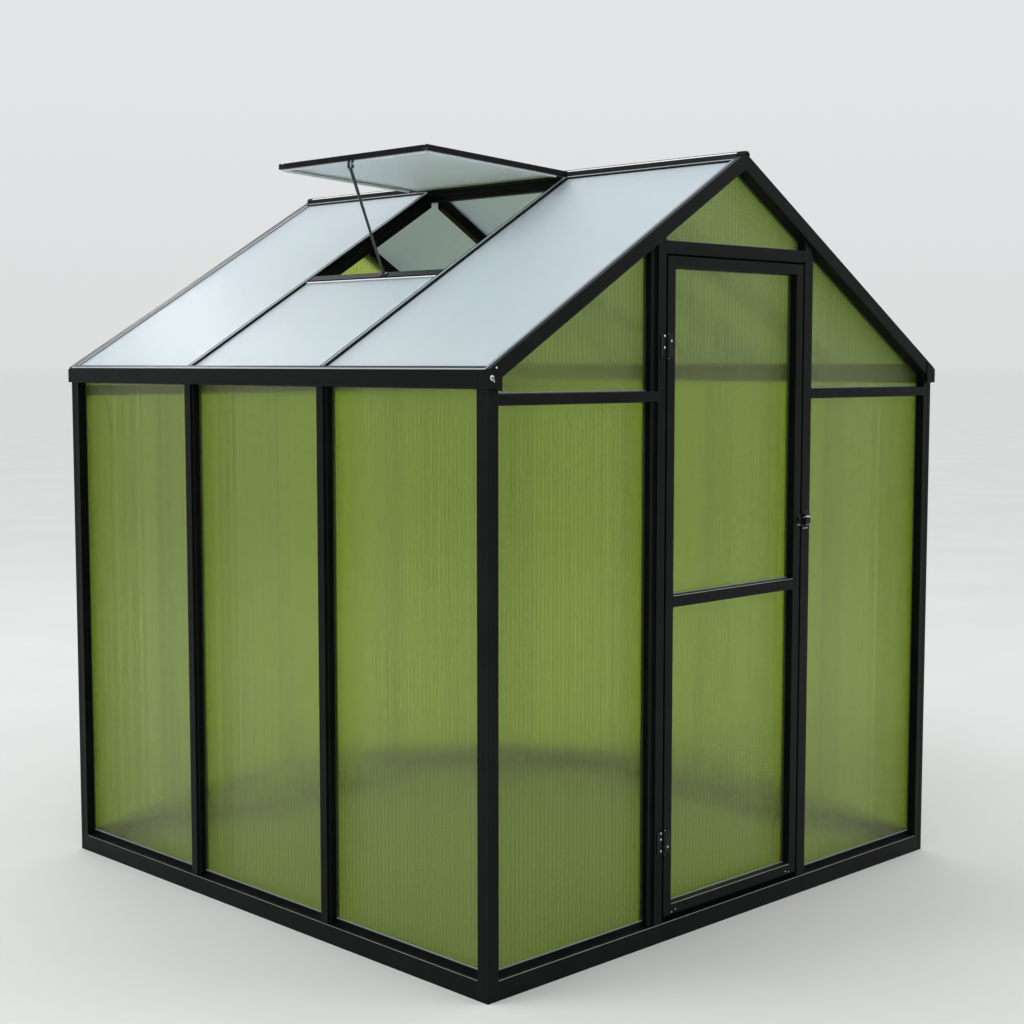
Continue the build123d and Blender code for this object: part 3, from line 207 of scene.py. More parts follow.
def twin_wall(
    name, axis, tint, clear, bend=(0.14, 0.34), rough=(0.03, 0.11), lines=0.13, ior=1.45
):
    """Twin-wall sheet with its ribs across an axis.

    Fine extrusion lines bend the light by a slope within bend, and the ribs show as faint lines,
    whose colour differs from the tint by a share of lines.
    """
    line_pitch = 0.0022
    rib_pitch = 0.0145
    mat, tree, shader = new_material(name)
    coords = tree.nodes.new("ShaderNodeTexCoord")
    split = tree.nodes.new("ShaderNodeSeparateXYZ")
    tree.links.new(coords.outputs["Object"], split.inputs["Vector"])
    across = split.outputs["XYZ".index(axis)]

    def wave(pitch, kind):
        """Sine or cosine across the ribs."""
        turns = tree.nodes.new("ShaderNodeMath")
        turns.operation = "MULTIPLY"
        turns.inputs[1].default_value = 2 * math.pi / pitch
        tree.links.new(across, turns.inputs[0])
        node = tree.nodes.new("ShaderNodeMath")
        node.operation = kind
        tree.links.new(turns.outputs["Value"], node.inputs[0])
        return node.outputs["Value"]

    # the slope of the fine lines, a little uneven from flute to flute
    stretch = {"X": (42, 1, 0.14), "Y": (0.14, 42, 0.14)}[axis]
    uneven = noise(tree, object_coords(tree, stretch), 1.0, detail=2.5, roughness=0.65)
    depth = spread(tree, uneven, *bend)
    slope = tree.nodes.new("ShaderNodeMath")
    slope.operation = "MULTIPLY"
    tree.links.new(wave(line_pitch, "SINE"), slope.inputs[0])
    tree.links.new(depth, slope.inputs[1])

    # the axis across the ribs, turned with the piece that the sheet sits in
    turn = tree.nodes.new("ShaderNodeVectorTransform")
    turn.vector_type = "VECTOR"
    turn.convert_from = "OBJECT"
    turn.convert_to = "WORLD"
    turn.inputs["Vector"].default_value = {"X": (1, 0, 0), "Y": (0, 1, 0)}[axis]
    lean = tree.nodes.new("ShaderNodeVectorMath")
    lean.operation = "SCALE"
    tree.links.new(turn.outputs["Vector"], lean.inputs[0])
    tree.links.new(slope.outputs["Value"], lean.inputs["Scale"])
    geometry = tree.nodes.new("ShaderNodeNewGeometry")
    tilted = tree.nodes.new("ShaderNodeVectorMath")
    tilted.operation = "ADD"
    tree.links.new(geometry.outputs["Normal"], tilted.inputs[0])
    tree.links.new(lean.outputs["Vector"], tilted.inputs[1])
    unit = tree.nodes.new("ShaderNodeVectorMath")
    unit.operation = "NORMALIZE"
    tree.links.new(tilted.outputs["Vector"], unit.inputs[0])
    tree.links.new(unit.outputs["Vector"], shader.inputs["Normal"])

    # ribs show as faint pale lines, and some flutes are a little darker than others
    rib_colour = ramp(tree, spread(tree, wave(rib_pitch, "COSINE"), 0.0, 1.0), [
        (0.0, tuple((1 - lines) * c for c in tint)),
        (0.5, tuple((1 - 0.3 * lines) * c for c in tint)),
        (0.9, tuple(min(1.0, (1 + 0.6 * lines) * c) for c in tint)),
    ])
    streaks = ramp(tree, uneven, [(0.32, (0.94, 0.94, 0.94)), (0.68, (1.0, 1.0, 1.0))])
    tinted = mixed(tree, None, rib_colour, streaks, "MULTIPLY")
    tree.links.new(tinted, shader.inputs["Base Color"])
    tree.links.new(spread(tree, uneven, *rough), shader.inputs["Roughness"])
    shader.inputs["Transmission Weight"].default_value = clear
    shader.inputs["IOR"].default_value = ior
    return mat


black = coated_metal(
    "black_coated_aluminium",
    (0.0028, 0.0034, 0.0033),
    (0.0056, 0.0064, 0.0062),
    (0.060, 0.068, 0.068),
)
black_steel = coated_metal(
    "black_coated_steel",
    (0.0040, 0.0042, 0.0045),
    (0.0080, 0.0083, 0.0085),
    (0.10, 0.10, 0.105),
    rough=(0.22, 0.34),
    grain=1400.0,
    edge=0.0006,
    gloss=0.15,
)
# the stay's pale edge colour is mostly a painted highlight along its rod
stay_steel = coated_metal(
    "stay_coated_steel",
    (0.010, 0.011, 0.012),
    (0.020, 0.022, 0.024),
    (0.35, 0.36, 0.37),
    rough=(0.12, 0.24),
    grain=1400.0,
    edge=0.0008,
    gloss=0.5,
)
steel = bright_metal("plated_steel", (0.78, 0.79, 0.81))
# pale metal for the lines painted along the rails' upper arrises as highlights
arris_highlight_metal = bright_metal("arris_highlight_aluminium", (0.46, 0.48, 0.49), (0.3, 0.5), (60.0, 60.0, 60.0))


def soft_strip(name, low, high, rough=(0.6, 0.85)):
    """Extruded rubber or vinyl strip with a fine matt grain."""
    mat, tree, shader = new_material(name)
    grain = noise(tree, object_coords(tree), 500.0)
    tree.links.new(ramp(tree, grain, [(0.3, low), (0.8, high)]), shader.inputs["Base Color"])
    tree.links.new(spread(tree, grain, *rough), shader.inputs["Roughness"])
    tree.links.new(bump(tree, grain, 0.00005, 0.4), shader.inputs["Normal"])
    return mat


rubber = soft_strip("rubber_strip", (0.010, 0.010, 0.010), (0.024, 0.024, 0.025))
# white for the vent's lip seal, and for the roof's white lines and ridge cap lines, which are
# painted highlights
white_seal_and_highlight = soft_strip("white_seal_and_highlight", (0.74, 0.77, 0.78), (0.86, 0.88, 0.88), (0.4, 0.55))
# grey for the painted sky reflections on the roof's caps and flanges
sky_reflection_grey = soft_strip("sky_reflection_grey", (0.24, 0.28, 0.31), (0.33, 0.37, 0.40), (0.4, 0.55))
# pale grey for the beads at the sheets' feet, a painted highlight
foot_highlight_grey = soft_strip("foot_highlight_grey", (0.13, 0.16, 0.16), (0.22, 0.26, 0.26), (0.4, 0.55))
# Tints of one near colourless twin-wall sheet: the walls' green is painted grass seen through them,
# the roof's pale blue is painted sky light, and the vent's paler tint is painted light on its
# shaded underside
WALL_GRASS_TINT = (0.520, 0.650, 0.125)
ROOF_SKY_TINT = (0.78, 0.885, 0.955)
VENT_LIT_TINT = (0.88, 0.95, 1.0)
gable_sheet = twin_wall("twin_wall_gable", "X", WALL_GRASS_TINT, 0.93)
side_sheet = twin_wall("twin_wall_side", "Y", WALL_GRASS_TINT, 0.93)
diffuse = {"clear": 0.60, "bend": (0.10, 0.30), "rough": (0.22, 0.42), "lines": 0.07}
roof_sheet = twin_wall("twin_wall_roof", "Y", ROOF_SKY_TINT, **diffuse)
vent_sheet = twin_wall("twin_wall_vent", "Y", VENT_LIT_TINT, ior=1.15, **diffuse)

for name, node in nodes.items():
    node.data.materials.clear()
    if name == "vent_panel":
        node.data.materials.append(vent_sheet)
    elif "roof_panels" in name:
        node.data.materials.append(roof_sheet)
    elif "panels" in name:
        gable = name.startswith(("front", "rear", "door"))
        node.data.materials.append(gable_sheet if gable else side_sheet)
    elif name == "vent_stay":
        node.data.materials.append(stay_steel)
    elif name in ("door_latch", "latch_keeper", "hinge_leaves_frame", "hinge_leaves_door"):
        node.data.materials.append(black_steel)
    else:
        node.data.materials.append(black)


# Small parts as joined meshes

def piece(name, bm, material, body):
    """One object of a body from a bmesh."""
    mesh = bpy.data.meshes.new(name)
    bm.to_mesh(mesh)
    bm.free()
    mesh.materials.append(material)
    mesh.shade_smooth()
    mesh.set_sharp_from_angle(angle=math.radians(35))
    obj = bpy.data.objects.new(name, mesh)
    scene.collection.objects.link(obj)
    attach(obj, body)
    return obj


def lathe(bm, place, profile, segments=20):
    """A turned form from (radius, height) points, on the plane and axis of a matrix."""
    rings = []
    for radius, height in profile:
        ring = []
        for i in range(segments):
            angle = 2 * math.pi * i / segments
            point = Vector((radius * math.cos(angle), radius * math.sin(angle), height))
            ring.append(bm.verts.new(place @ point))
        rings.append(ring)
    for low, high in zip(rings, rings[1:]):
        for i in range(segments):
            j = (i + 1) % segments
            bm.faces.new((low[i], low[j], high[j], high[i]))
    bm.faces.new(list(reversed(rings[0])))
    bm.faces.new(rings[-1])


def join_rings(bm, first, last):
    """A closed form from two rings of as many vertices."""
    for i in range(len(first)):
        j = (i + 1) % len(first)
        bm.faces.new((first[i], first[j], last[j], last[i]))
    bm.faces.new(first[::-1])
    bm.faces.new(last)


def facing(point, normal, spin=0.0):
    """Matrix at a point with its Z along the normal."""
    turn = Vector(normal).to_track_quat("Z", "Y").to_matrix().to_4x4()
    return Matrix.Translation(point) @ turn @ Matrix.Rotation(spin, 4, "Z")


def pan_head(bm, point, normal, radius=0.0036, height=0.0022, spin=0.3):
    """A domed screw head with a cross recess."""
    place = facing(point, normal, spin)
    lathe(bm, place, [
        (radius, 0.0),
        (radius, height * 0.35),
        (radius * 0.86, height * 0.75),
        (radius * 0.5, height),
        (radius * 0.42, height),
        (radius * 0.18, height * 0.45),
    ])
    arm = (radius * 1.1, radius * 0.22, height * 0.12)
    for turn in (0, math.pi / 2):
        bar = bmesh.ops.create_cube(bm, size=1.0)["verts"]
        shape = place @ Matrix.Rotation(turn, 4, "Z") @ Matrix.Translation((0, 0, height * 0.9))
        for v in bar:
            v.co = shape @ Vector(tuple(c * size for c, size in zip(v.co, arm)))


def hex_bolt(bm, point, normal, across, height, washer, spin=0.4):
    """A chamfered hexagon head on a washer."""
    place = facing(point, normal, spin)
    lathe(bm, place, [
        (washer, 0.0),
        (washer, 0.0010),
        (washer * 0.94, 0.0013),
        (washer * 0.6, 0.0013),
    ], 28)
    corner = across / 2 / math.cos(math.pi / 6)
    lathe(bm, place @ Matrix.Translation((0, 0, 0.0012)), [
        (corner, 0.0),
        (corner, height * 0.8),
        (corner * 0.88, height),
    ], 6)


def tube(bm, points, radius, segments=10):
    """A round wire through points."""
    rings = []
    for i, point in enumerate(points):
        ahead = points[min(i + 1, len(points) - 1)] - points[max(i - 1, 0)]
        turn = ahead.to_track_quat("Z", "Y").to_matrix().to_4x4()
        place = Matrix.Translation(point) @ turn
        rings.append([
            bm.verts.new(place @ Vector((
                radius * math.cos(2 * math.pi * k / segments),
                radius * math.sin(2 * math.pi * k / segments),
                0,
            )))
            for k in range(segments)
        ])
    for low, high in zip(rings, rings[1:]):
        for k in range(segments):
            n = (k + 1) % segments
            bm.faces.new((low[k], low[n], high[n], high[k]))
    bm.faces.new(list(reversed(rings[0])))
    bm.faces.new(rings[-1])


def smooth_path(corners, steps=6):
    """Points of a rounded path through corners."""
    points = []
    padded = [corners[0]] + corners + [corners[-1]]
    for a, b, c, d in zip(padded, padded[1:], padded[2:], padded[3:]):
        for i in range(steps):
            t = i / steps
            points.append(0.5 * (
                2 * b + (c - a) * t + (2 * a - 5 * b + 4 * c - d) * t * t
                + (3 * b - a - 3 * c + d) * t * t * t
            ))
    points.append(corners[-1])
    return points


def ring_bolt(bm, point, normal, washer=0.0066, head=0.0047, spin=0.4):
    """A button head with a hexagon socket on a wide washer."""
    place = facing(point, normal, spin)
    lathe(bm, place, [(washer, 0.0), (washer, 0.0010), (washer * 0.93, 0.0014), (head, 0.0014)], 32)
    above = place @ Matrix.Translation((0, 0, 0.0012))
    lathe(bm, above, [
        (head, 0.0),
        (head * 0.97, 0.0006),
        (head * 0.88, 0.0011),
        (head * 0.76, 0.0013),
    ], 24)
    socket = head * 0.62
    lathe(bm, above, [
        (head * 0.76, 0.0011),
        (head * 0.72, 0.0014),
        (socket, 0.0014),
        (socket, 0.0010),
    ], 6)


def socket_shade_plug(bm, point, normal, radius=0.0032, spin=0.4):
    """A domed black rubber plug in the socket of a ring bolt: painted shade for the socket's dark
    hollow.
    """
    place = facing(point, normal, spin)
    lathe(bm, place, [
        (radius, 0.0018),
        (radius, 0.0027),
        (radius * 0.86, 0.0030),
        (radius * 0.45, 0.0028),
        (radius * 0.2, 0.0026),
    ], 18)


# Bolts of the eave corner brackets, alike on the real house: bright steel on the left corners as a
# painted highlight, black coated on the right
bolt_x, bolt_z = BRACKET_BOLT
for side, name, material in ((-1, "left", steel), (1, "right", black_steel)):
    bm = bmesh.new()
    for end in (-1, 1):
        outward = (0, end, 0)
        face = end * BRACKET_FACE
        ring_bolt(bm, Vector((side * bolt_x, face, bolt_z)), outward)
        for screw_x, screw_z, radius in BRACKET_SCREWS:
            pan_head(bm, Vector((side * screw_x, face, screw_z)), outward, radius, 0.0018)
    piece("bracket_bolts_" + name, bm, material, "frame")
# Black plugs in the sockets of the left bolts: painted shade for the sockets' dark centres
bm = bmesh.new()
for end in (-1, 1):
    socket_shade_plug(bm, Vector((-bolt_x, end * BRACKET_FACE, bolt_z)), (0, end, 0))
piece("bracket_bolt_socket_shade", bm, rubber, "frame")

# Screws of the hinge leaves, by hinge and height from its middle: alike on the real hinges, but
# some are bright steel as painted highlights and the rest black coated
LOW, HIGH = HINGES
SCREW_LINE = {"frame": -0.3155, "door": -0.2890}  # across the gable
SCREWS = {
    ("frame", "bright"): (
        (LOW, 0.0255), (LOW, 0.0095), (LOW, -0.0215), (HIGH, 0.0255), (HIGH, -0.0040),
    ),
    ("frame", "black"): ((HIGH, -0.0220),),
    ("door", "bright"): ((LOW, -0.0150), (HIGH, 0.0130)),
    ("door", "black"): ((LOW, 0.0140), (HIGH, -0.0140)),
}
for (body, glint), rows in SCREWS.items():
    bm = bmesh.new()
    for hinge, offset in rows:
        point = Vector((SCREW_LINE[body], -HINGE_FACE, hinge + offset))
        pan_head(bm, point, (0, -1, 0), 0.0031, 0.0019, 0.2 + 30 * offset)
    bright = glint == "bright"
    name = "hinge_screws_" + body + ("" if bright else "_black")
    piece(name, bm, steel if bright else black_steel, body)

# Bright ends of the hinge pins
bm = bmesh.new()
for hinge in HINGES:
    for end in (-1, 1):
        place = facing(Vector((*PIN, hinge + end * PIN_HALF)), (0, 0, end))
        profile = [(0.0024, 0.0), (0.0024, 0.0004), (0.0016, 0.0011), (0.0006, 0.0013)]
        lathe(bm, place, profile, 16)
piece("hinge_pin_ends", bm, steel, "frame")

# Spring wire of the latch, over its block and past the edge of the stud
bm = bmesh.new()
tube(bm, smooth_path([
    Vector((0.2868, -0.9290, 1.0850)),
    Vector((0.2885, -0.9375, 1.0905)),
    Vector((0.2935, -0.9405, 1.0885)),
    Vector((0.3000, -0.9405, 1.0905)),
    Vector((0.3065, -0.9400, 1.0875)),
    Vector((0.3130, -0.9370, 1.0880)),
    Vector((0.3200, -0.9320, 1.0850)),
    Vector((0.3225, -0.9290, 1.0815)),
]), 0.0015)
piece("latch_spring", bm, steel, "frame")

# Bright steel lines along the lower edges of the latch and its keeper, painted highlights; and the
# screws of the latch plate
bm = bmesh.new()
tube(bm, [Vector((0.2875, -0.9272, 1.0556)), Vector((0.3110, -0.9272, 1.0556))], 0.0008, 8)
tube(bm, [Vector((0.2895, -0.9375, 1.0672)), Vector((0.3085, -0.9375, 1.0672))], 0.0009, 8)
piece("latch_edge_highlight", bm, steel, "frame")
bm = bmesh.new()
tube(bm, [Vector((0.2608, -0.9272, 1.0664)), Vector((0.2762, -0.9272, 1.0664))], 0.0008, 8)
piece("keeper_edge_highlight", bm, steel, "door")
bm = bmesh.new()
for offset in (-0.0205, 0.0205):
    pan_head(bm, Vector((0.299, -GABLE - 0.002, LATCH + offset)), (0, -1, 0), 0.0029, 0.0018, 0.6)
piece("latch_screws", bm, black_steel, "frame")

# Bolt at the end of the door header
bm = bmesh.new()
hex_bolt(bm, Vector((0.2780, -GABLE, 1.8164)), (0, -1, 0), 0.0075, 0.0030, 0.0052)
piece("header_bolt", bm, black_steel, "frame")

# Screws in the bottom corners of the door leaf
bm = bmesh.new()
for x, z in ((-0.2528, 0.0778), (-0.2675, 0.0735), (0.2308, 0.0778), (0.2455, 0.0735)):
    pan_head(bm, Vector((x, -GABLE, z)), (0, -1, 0), 0.0019, 0.0013)
piece("door_corner_screws", bm, steel, "door")


# Painted highlights: thin pale lines along the tops of the base rails and of the door's lower
# rails, where the arrises catch the sky
def highlight_line(bm, start, end, radius=0.0007):
    """A thin rounded line of pale metal from start to end, a painted highlight."""
    steps = 12
    tube(bm, [Vector(start).lerp(Vector(end), i / steps) for i in range(steps + 1)], radius, 8)


bm = bmesh.new()
edge_z = 0.0490  # just below the bevel of the base rails
edge_in = 0.0009  # from their outer faces in to the middle of the line
post_x, post_y = WALL - POST, GABLE - POST  # from the middle to the arms of the corner posts
for end in (-1, 1):
    y = end * (GABLE - edge_in)
    highlight_line(bm, (-post_x, y, edge_z), (post_x, y, edge_z))
    x = end * (WALL - edge_in)
    highlight_line(bm, (x, -post_y, edge_z), (x, post_y, edge_z))
piece("base_rail_highlights", bm, arris_highlight_metal, "frame")
bm = bmesh.new()
stile = LEAF_STILE + 0.001  # the lines end just clear of the stiles
left, right = LEAF[0] + stile, LEAF[1] - stile
for top, thick in ((0.0953, 0.0007), (0.9157, 0.0006)):
    highlight_line(bm, (left, -GABLE + 0.0004, top), (right, -GABLE + 0.0004, top), thick)
piece("door_rail_highlights", bm, arris_highlight_metal, "door")


# Rubber beads round the outside of every wall sheet; the one at its foot is thicker and pale grey,
# a painted highlight
def bead_loop(beads, foot_highlights, corners, outward, radius=0.0014):
    """Beads along the edges of a sheet; the first edge is its foot, whose thicker bead goes to the
    painted foot highlights.
    """
    points = [Vector(corner) for corner in corners]
    centre = sum(points, Vector()) / len(points)
    for start, end in zip(points, points[1:] + points[:1]):
        along = (end - start).normalized()
        side = along.cross(outward).normalized()
        if side.dot(centre - start) < 0:
            side = -side
        thick = radius * 1.5 if start is points[0] else radius
        shift = side * thick * 0.8
        tube(foot_highlights if start is points[0] else beads, [start + shift, end + shift], thick, 8)


def rake_under(x):
    """Height of the underside of the rakes at x."""
    return APEX - math.tan(PITCH) * abs(x) - RAKE / math.cos(PITCH)


def gable_sheet_edges(y, left, right, foot, top=None):
    """Corners of a sheet of a gable, from its foot; with no top it ends under the rakes."""
    if top:
        return [(left, y, foot), (right, y, foot), (right, y, top), (left, y, top)]
    corners = [(left, y, foot), (right, y, foot), (right, y, rake_under(right))]
    if left < 0 < right:
        corners.append((0, y, rake_under(0)))
    return corners + [(left, y, rake_under(left))]


BEAD_OUT = 0.0006  # how far the middle of a bead lies out from its sheet
inner, outer = MULLION
beads, foot_highlights = bmesh.new(), bmesh.new()
for side in (-1, 1):
    x = side * (WALL - SHEET + BEAD_OUT)
    for y1, y2 in ((-post_y, -outer), (-inner, inner), (outer, post_y)):
        corners = [(x, y1, LIP_TOP), (x, y2, LIP_TOP), (x, y2, EAVE_FOOT), (x, y1, EAVE_FOOT)]
        bead_loop(beads, foot_highlights, corners, Vector((side, 0, 0)))
inner, outer = REAR_STUD
front_bays = [
    (-post_x, STUDS[0], LIP_TOP, RAIL[0]),
    (STUDS[3], post_x, LIP_TOP, RAIL[0]),
    (-post_x, STUDS[0], RAIL[1], None),
    (STUDS[3], post_x, RAIL[1], None),
    (STUDS[1], STUDS[2], HEADER[1], None),
]
rear_bays = [
    (left, right, foot, top)
    for foot, top in ((LIP_TOP, RAIL[0]), (RAIL[1], None))
    for left, right in ((-post_x, -outer), (-inner, inner), (outer, post_x))
]
for end, bays in ((-1, front_bays), (1, rear_bays)):
    for left, right, foot, top in bays:
        corners = gable_sheet_edges(end * (GABLE - SHEET + BEAD_OUT), left, right, foot, top)
        bead_loop(beads, foot_highlights, corners, Vector((0, end, 0)))
piece("wall_glazing_beads", beads, rubber, "frame")
piece("wall_foot_highlights", foot_highlights, foot_highlight_grey, "frame")
beads, foot_highlights = bmesh.new(), bmesh.new()
left, right = LEAF[0] + LEAF_STILE, LEAF[1] - LEAF_STILE
for foot, top in LEAF_SHEETS:
    corners = gable_sheet_edges(-GABLE + LEAF_SHEET - BEAD_OUT, left, right, foot, top)
    bead_loop(beads, foot_highlights, corners, Vector((0, -1, 0)))
piece("door_glazing_beads", beads, rubber, "door")
piece("door_foot_highlights", foot_highlights, foot_highlight_grey, "door")


# White strips on the roof sheets, along the eaves, the rakes and the vent sill: painted highlights
# for the bright edges there
def on_roof(side, down, y, drop=SHEET_DROP):
    """A point at a distance down a slope of the roof, below its top plane."""
    x = down * math.cos(PITCH) + drop * math.sin(PITCH)
    return Vector((side * x, y, APEX - down * math.sin(PITCH) - drop * math.cos(PITCH)))


def ribbon(bm, start, end, normal, half_width, thick=0.0012):
    """A flat strip with bevelled edges, on a surface with this normal."""
    along = (end - start).normalized()
    across = along.cross(normal).normalized()
    section = [
        (-half_width, 0.0),
        (-half_width, 0.4 * thick),
        (-0.7 * half_width, thick),
        (0.7 * half_width, thick),
        (half_width, 0.4 * thick),
        (half_width, 0.0),
    ]
    rings = [
        [bm.verts.new(point + across * u + normal * v) for u, v in section]
        for point in (start, end)
    ]
    join_rings(bm, *rings)


def slope_normal(side):
    """Normal of a slope of the roof."""
    return Vector((side * math.sin(PITCH), 0, math.cos(PITCH)))


EAVE_DOWN = (WALL - 0.0100) / math.cos(PITCH) - 0.0024  # white line beside the eave flange
TOP_DOWN = 0.0355  # upper end of the white lines, below the ridge cap
SILL_DOWN = 0.6054  # white line beside the vent sill
EAVE_LINE_END = 0.912  # from the middle to the ends of the eave lines
SILL_HALF = 0.287  # half the length of the sill line
RAKE_LINE = GABLE - 0.0142  # from the middle to the lines beside the rakes
bm = bmesh.new()
for side in (-1, 1):
    normal = slope_normal(side)
    start, end = (on_roof(side, EAVE_DOWN, y) for y in (-EAVE_LINE_END, EAVE_LINE_END))
    ribbon(bm, start, end, normal, 0.0024)
    for y in (-RAKE_LINE, RAKE_LINE):
        ribbon(bm, on_roof(side, TOP_DOWN, y), on_roof(side, EAVE_DOWN, y), normal, 0.0020)
    if side < 0:
        start, end = (on_roof(side, SILL_DOWN, y) for y in (-SILL_HALF, SILL_HALF))
        ribbon(bm, start, end, normal, 0.0022)
bmesh.ops.recalc_face_normals(bm, faces=bm.faces)
piece("roof_edge_highlights", bm, white_seal_and_highlight, "frame")

# Painted sky reflections: grey strips along the tops of bar caps, eave flanges, rakes and ridge
# caps
REFLECTION_THICK = 0.0006  # thickness of the reflection strips
CAP_START, CAP_DOWN, CAP_FOOT = 0.0375, 1.0840, 1.0942  # down the slope
EAVE_REFLECTION, RAKE_REFLECTION = 1.0972, 0.9185  # middles of the reflection strips of eave flanges and rakes
REFLECTION_END = 0.9213  # from the middle to the ends of the eave reflection strips
RIDGE_DOWN, RIDGE_DROP = 0.0285, 0.0032  # middle of the reflection strips of the ridge caps
RIDGE_ENDS = (0.289, 0.912)  # from the middle to the ends of the ridge caps' strips
bm = bmesh.new()
for side in (-1, 1):
    normal = slope_normal(side)
    for y in (-BAY, BAY):
        start, end = (on_roof(side, down, y, 0.0) for down in (CAP_START, CAP_DOWN))
        ribbon(bm, start, end, normal, 0.0038, REFLECTION_THICK)
    start, end = (on_roof(side, EAVE_REFLECTION, y, 0.0) for y in (-REFLECTION_END, REFLECTION_END))
    ribbon(bm, start, end, normal, 0.0030, REFLECTION_THICK)
    for gable in (-1, 1):
        y = gable * RAKE_REFLECTION
        start, end = (on_roof(side, down, y, 0.0) for down in (CAP_START, CAP_FOOT))
        ribbon(bm, start, end, normal, 0.0028, REFLECTION_THICK)
        start, end = (on_roof(side, RIDGE_DOWN, gable * y, RIDGE_DROP) for y in RIDGE_ENDS)
        ribbon(bm, start, end, normal, 0.0022, REFLECTION_THICK)
bmesh.ops.recalc_face_normals(bm, faces=bm.faces)
piece("roof_sky_reflections", bm, sky_reflection_grey, "frame")

# White lines on the shoulders of the ridge caps, painted highlights where the rounded shoulders
# catch the sky
SHOULDER = (0.0101, APEX + 0.0005)  # their middles, across the house and above the ground
bm = bmesh.new()
for side in (-1, 1):
    normal = Vector((side * 0.858, 0, 0.513))
    for gable in (-1, 1):
        start, end = (Vector((side * SHOULDER[0], gable * y, SHOULDER[1])) for y in RIDGE_ENDS)
        ribbon(bm, start, end, normal, 0.0018, 0.0005)
bmesh.ops.recalc_face_normals(bm, faces=bm.faces)
piece("ridge_cap_highlights", bm, white_seal_and_highlight, "frame")

# Covers between the eave flanges and the rakes, by distance from the middle and drop
cover = [
    (x, APEX - x * math.tan(PITCH) - drop / math.cos(PITCH))
    for x, drop in (
        (0.9420, 0.0), (0.9280, 0.0), (0.9280, 0.0056), (0.9385, 0.0056), (0.9420, 0.0034),
    )
]
bm = bmesh.new()
for side in (-1, 1):
    for end in (-1, 1):
        rings = [
            [bm.verts.new((side * x, end * y, z)) for x, z in cover]
            for y in (EAVE_END, FLANGE - 0.0001)
        ]
        join_rings(bm, *rings)
bmesh.ops.recalc_face_normals(bm, faces=bm.faces)
piece("eave_corner_covers", bm, black, "frame")

# Roof vent: white lip seal under the sash
LIFT = math.radians(3.3)  # how far the open sash points above level
PIVOT = (-0.040, 2.059)  # bead that the sash turns on, across the house and above the ground
SASH_START = 0.0090  # from the bead to the first edge of the sash
SASH_UNDER = 0.0055  # the bead's middle down to the underside of the sash
SASH_LONG = 0.540  # hinge side to free edge of the sash
SASH_HALF = 0.328  # half its width


def sash_point(along, up, y):
    """A point of the open sash: along it from its hinge side, up from its underside."""
    reach = SASH_START + along
    rise = up - SASH_UNDER
    return Vector((
        PIVOT[0] - reach * math.cos(LIFT) + rise * math.sin(LIFT),
        y,
        PIVOT[1] + reach * math.sin(LIFT) + rise * math.cos(LIFT),
    ))


SEAL_IN, SEAL_UP = 0.0071, -0.0016  # middle of the seal, from the edges and the underside
SEAL_FROM = 0.040  # where it starts, clear of the hinge rail
far, wide = SASH_LONG - SEAL_IN, SASH_HALF - SEAL_IN
corners = [
    sash_point(SEAL_FROM, SEAL_UP, -wide),
    sash_point(far, SEAL_UP, -wide),
    sash_point(far, SEAL_UP, wide),
    sash_point(SEAL_FROM, SEAL_UP, wide),
]
middle = sum(corners, Vector()) / len(corners)
sash_up = sash_point(0, 1, 0) - sash_point(0, 0, 0)
bm = bmesh.new()
for start, end in zip(corners, corners[1:]):
    inward = sash_up.cross(end - start).normalized()
    if inward.dot(middle - start) < 0:
        inward = -inward
    ribbon(bm, start, end, inward, 0.0039, 0.0014)
bmesh.ops.recalc_face_normals(bm, faces=bm.faces)
piece("sash_seal", bm, white_seal_and_highlight, "frame")

# Corner keys that close the ends of the sash rails
key = [
    (0.0003, 0.0003), (0.0067, 0.0003), (0.0067, 0.0024),
    (0.0027, 0.0024), (0.0027, 0.0090), (0.0003, 0.0090),
]
bm = bmesh.new()
for across in (-1, 1):
    for free in (False, True):
        rings = []
        for width in (0.0069, 0.0204):
            y = across * (SASH_HALF - width)
            rings.append([
                bm.verts.new(sash_point(SASH_LONG - u if free else u, v, y)) for u, v in key
            ])
        join_rings(bm, *rings)
bmesh.ops.recalc_face_normals(bm, faces=bm.faces)
piece("sash_corner_keys", bm, black_steel, "frame")

# Pin and bolts in the fork of the stay, and the screws of its foot
bm = bmesh.new()
fork_middle = sash_point(SASH_LONG - 0.005, -0.010, 0.0)
for side in (-1, 1):
    point = fork_middle + Vector((0, side * 0.0100, 0))
    hex_bolt(bm, point, (0, side, 0), 0.0046, 0.0020, 0.0030)
pin_half = Vector((0, 0.0098, 0))
tube(bm, [fork_middle - pin_half, fork_middle + pin_half], 0.0016, 12)
foot_normal = slope_normal(-1)
foot_middle = Vector((-0.5038, -0.045, 1.7699)) + foot_normal * 0.0023
for side in (-1, 1):
    pan_head(bm, foot_middle + Vector((0, side * 0.0094, 0)), foot_normal, 0.0024, 0.0016)
piece("stay_fastenings", bm, steel, "frame")


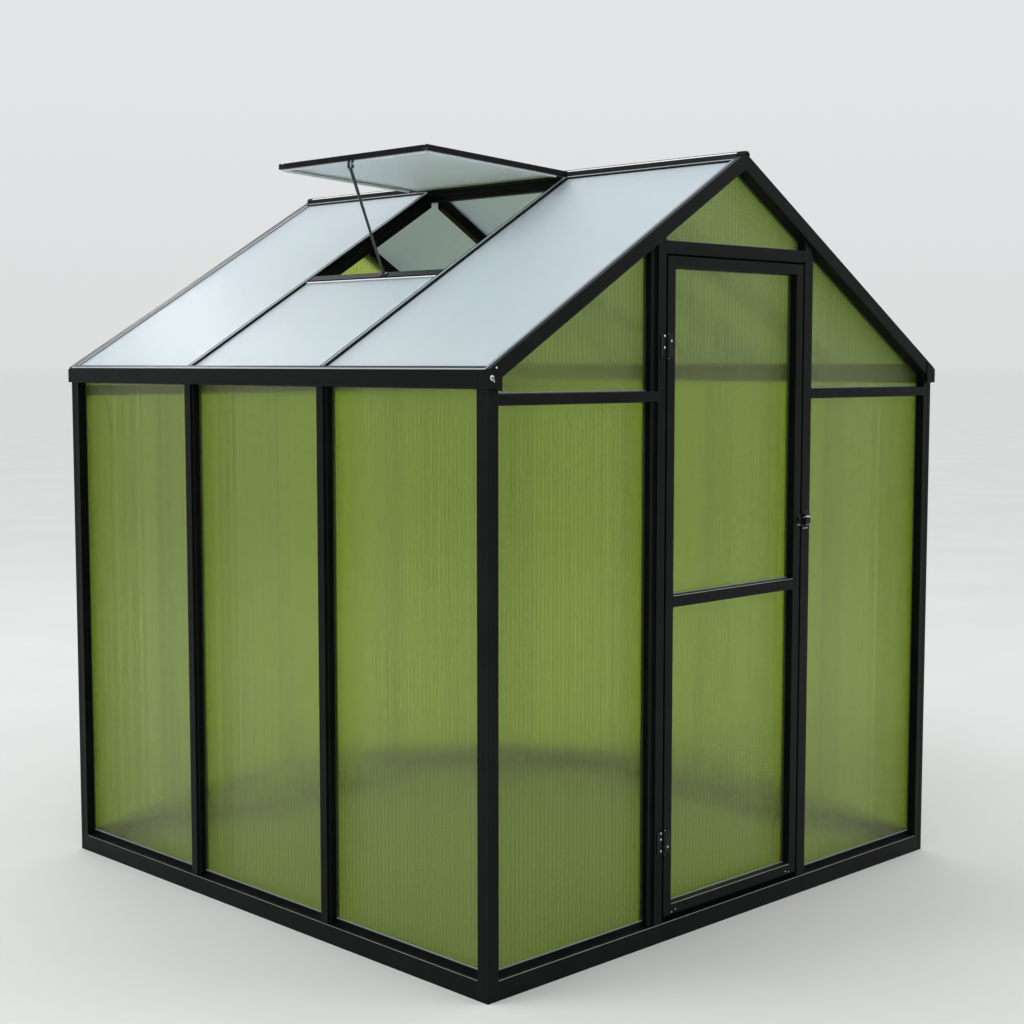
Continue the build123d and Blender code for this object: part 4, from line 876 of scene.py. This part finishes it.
# Floor, light and camera
def stage_floor():
    """A large pale floor."""
    mat, tree, shader = new_material("pale_floor")
    tone = noise(tree, object_coords(tree), 1.2, detail=4.0)
    tree.links.new(
        ramp(tree, tone, [(0.3, (0.60, 0.605, 0.60)), (0.7, (0.63, 0.635, 0.63))]),
        shader.inputs["Base Color"],
    )
    shader.inputs["Roughness"].default_value = 0.8
    mesh = bpy.data.meshes.new("floor")
    size = 400.0
    corners = [(-size, -size, 0), (size, -size, 0), (size, size, 0), (-size, size, 0)]
    mesh.from_pydata(corners, [], [(0, 1, 2, 3)])
    mesh.materials.append(mat)
    floor = bpy.data.objects.new("floor", mesh)
    scene.collection.objects.link(floor)


stage_floor()
scene.view_settings.view_transform = "Standard"
world = bpy.data.worlds.new("soft_sky")
scene.world = world
world.use_nodes = True
sky = world.node_tree
direction = sky.nodes.new("ShaderNodeTexCoord")
split = sky.nodes.new("ShaderNodeSeparateXYZ")
sky.links.new(direction.outputs["Generated"], split.inputs["Vector"])
sky_colour = ramp(sky, split.outputs["Z"], [
    (0.0, (0.63, 0.635, 0.635)),
    (0.25, (0.68, 0.70, 0.72)),
    (0.60, (1.0, 1.0, 1.0)),
])
sky.links.new(sky_colour, sky.nodes["Background"].inputs["Color"])
sky.nodes["Background"].inputs["Strength"].default_value = 1.15


def area_light(name, place, target, size, power, colour=(1, 1, 1)):
    """A square soft light aimed at a point."""
    data = bpy.data.lights.new(name, "AREA")
    data.size = size
    data.energy = power
    data.color = colour
    light = bpy.data.objects.new(name, data)
    light.location = place
    light.rotation_euler = (Vector(target) - Vector(place)).to_track_quat("-Z", "Y").to_euler()
    scene.collection.objects.link(light)


area_light("key", (-6.0, 2.5, 7.0), (0, 0, 1.0), 4.0, 260.0, (0.97, 0.99, 1.0))
area_light("fill", (4.0, -6.5, 5.0), (0, 0, 1.0), 4.0, 110.0)
area_light("glow", (1.43, 7.33, 5.45), (-0.74, 0.65, 1.62), 0.8, 24.0)

# The camera that the photo was taken with, as fitted to it
camera_data = bpy.data.cameras.new("camera")
camera_data.sensor_fit = "HORIZONTAL"
camera_data.sensor_width = 36.0
camera_data.lens = 36.0 * 1713.918 / 1024.0
camera = bpy.data.objects.new("camera", camera_data)
yaw, pitch = math.radians(44.4152), math.radians(-4.9704)
look = Vector((
    math.sin(yaw) * math.cos(pitch),
    math.cos(yaw) * math.cos(pitch),
    math.sin(pitch),
))
camera.location = (-3.6661, -3.7910, 1.5201)
camera.rotation_euler = look.to_track_quat("-Z", "Y").to_euler()
scene.collection.objects.link(camera)
scene.camera = camera
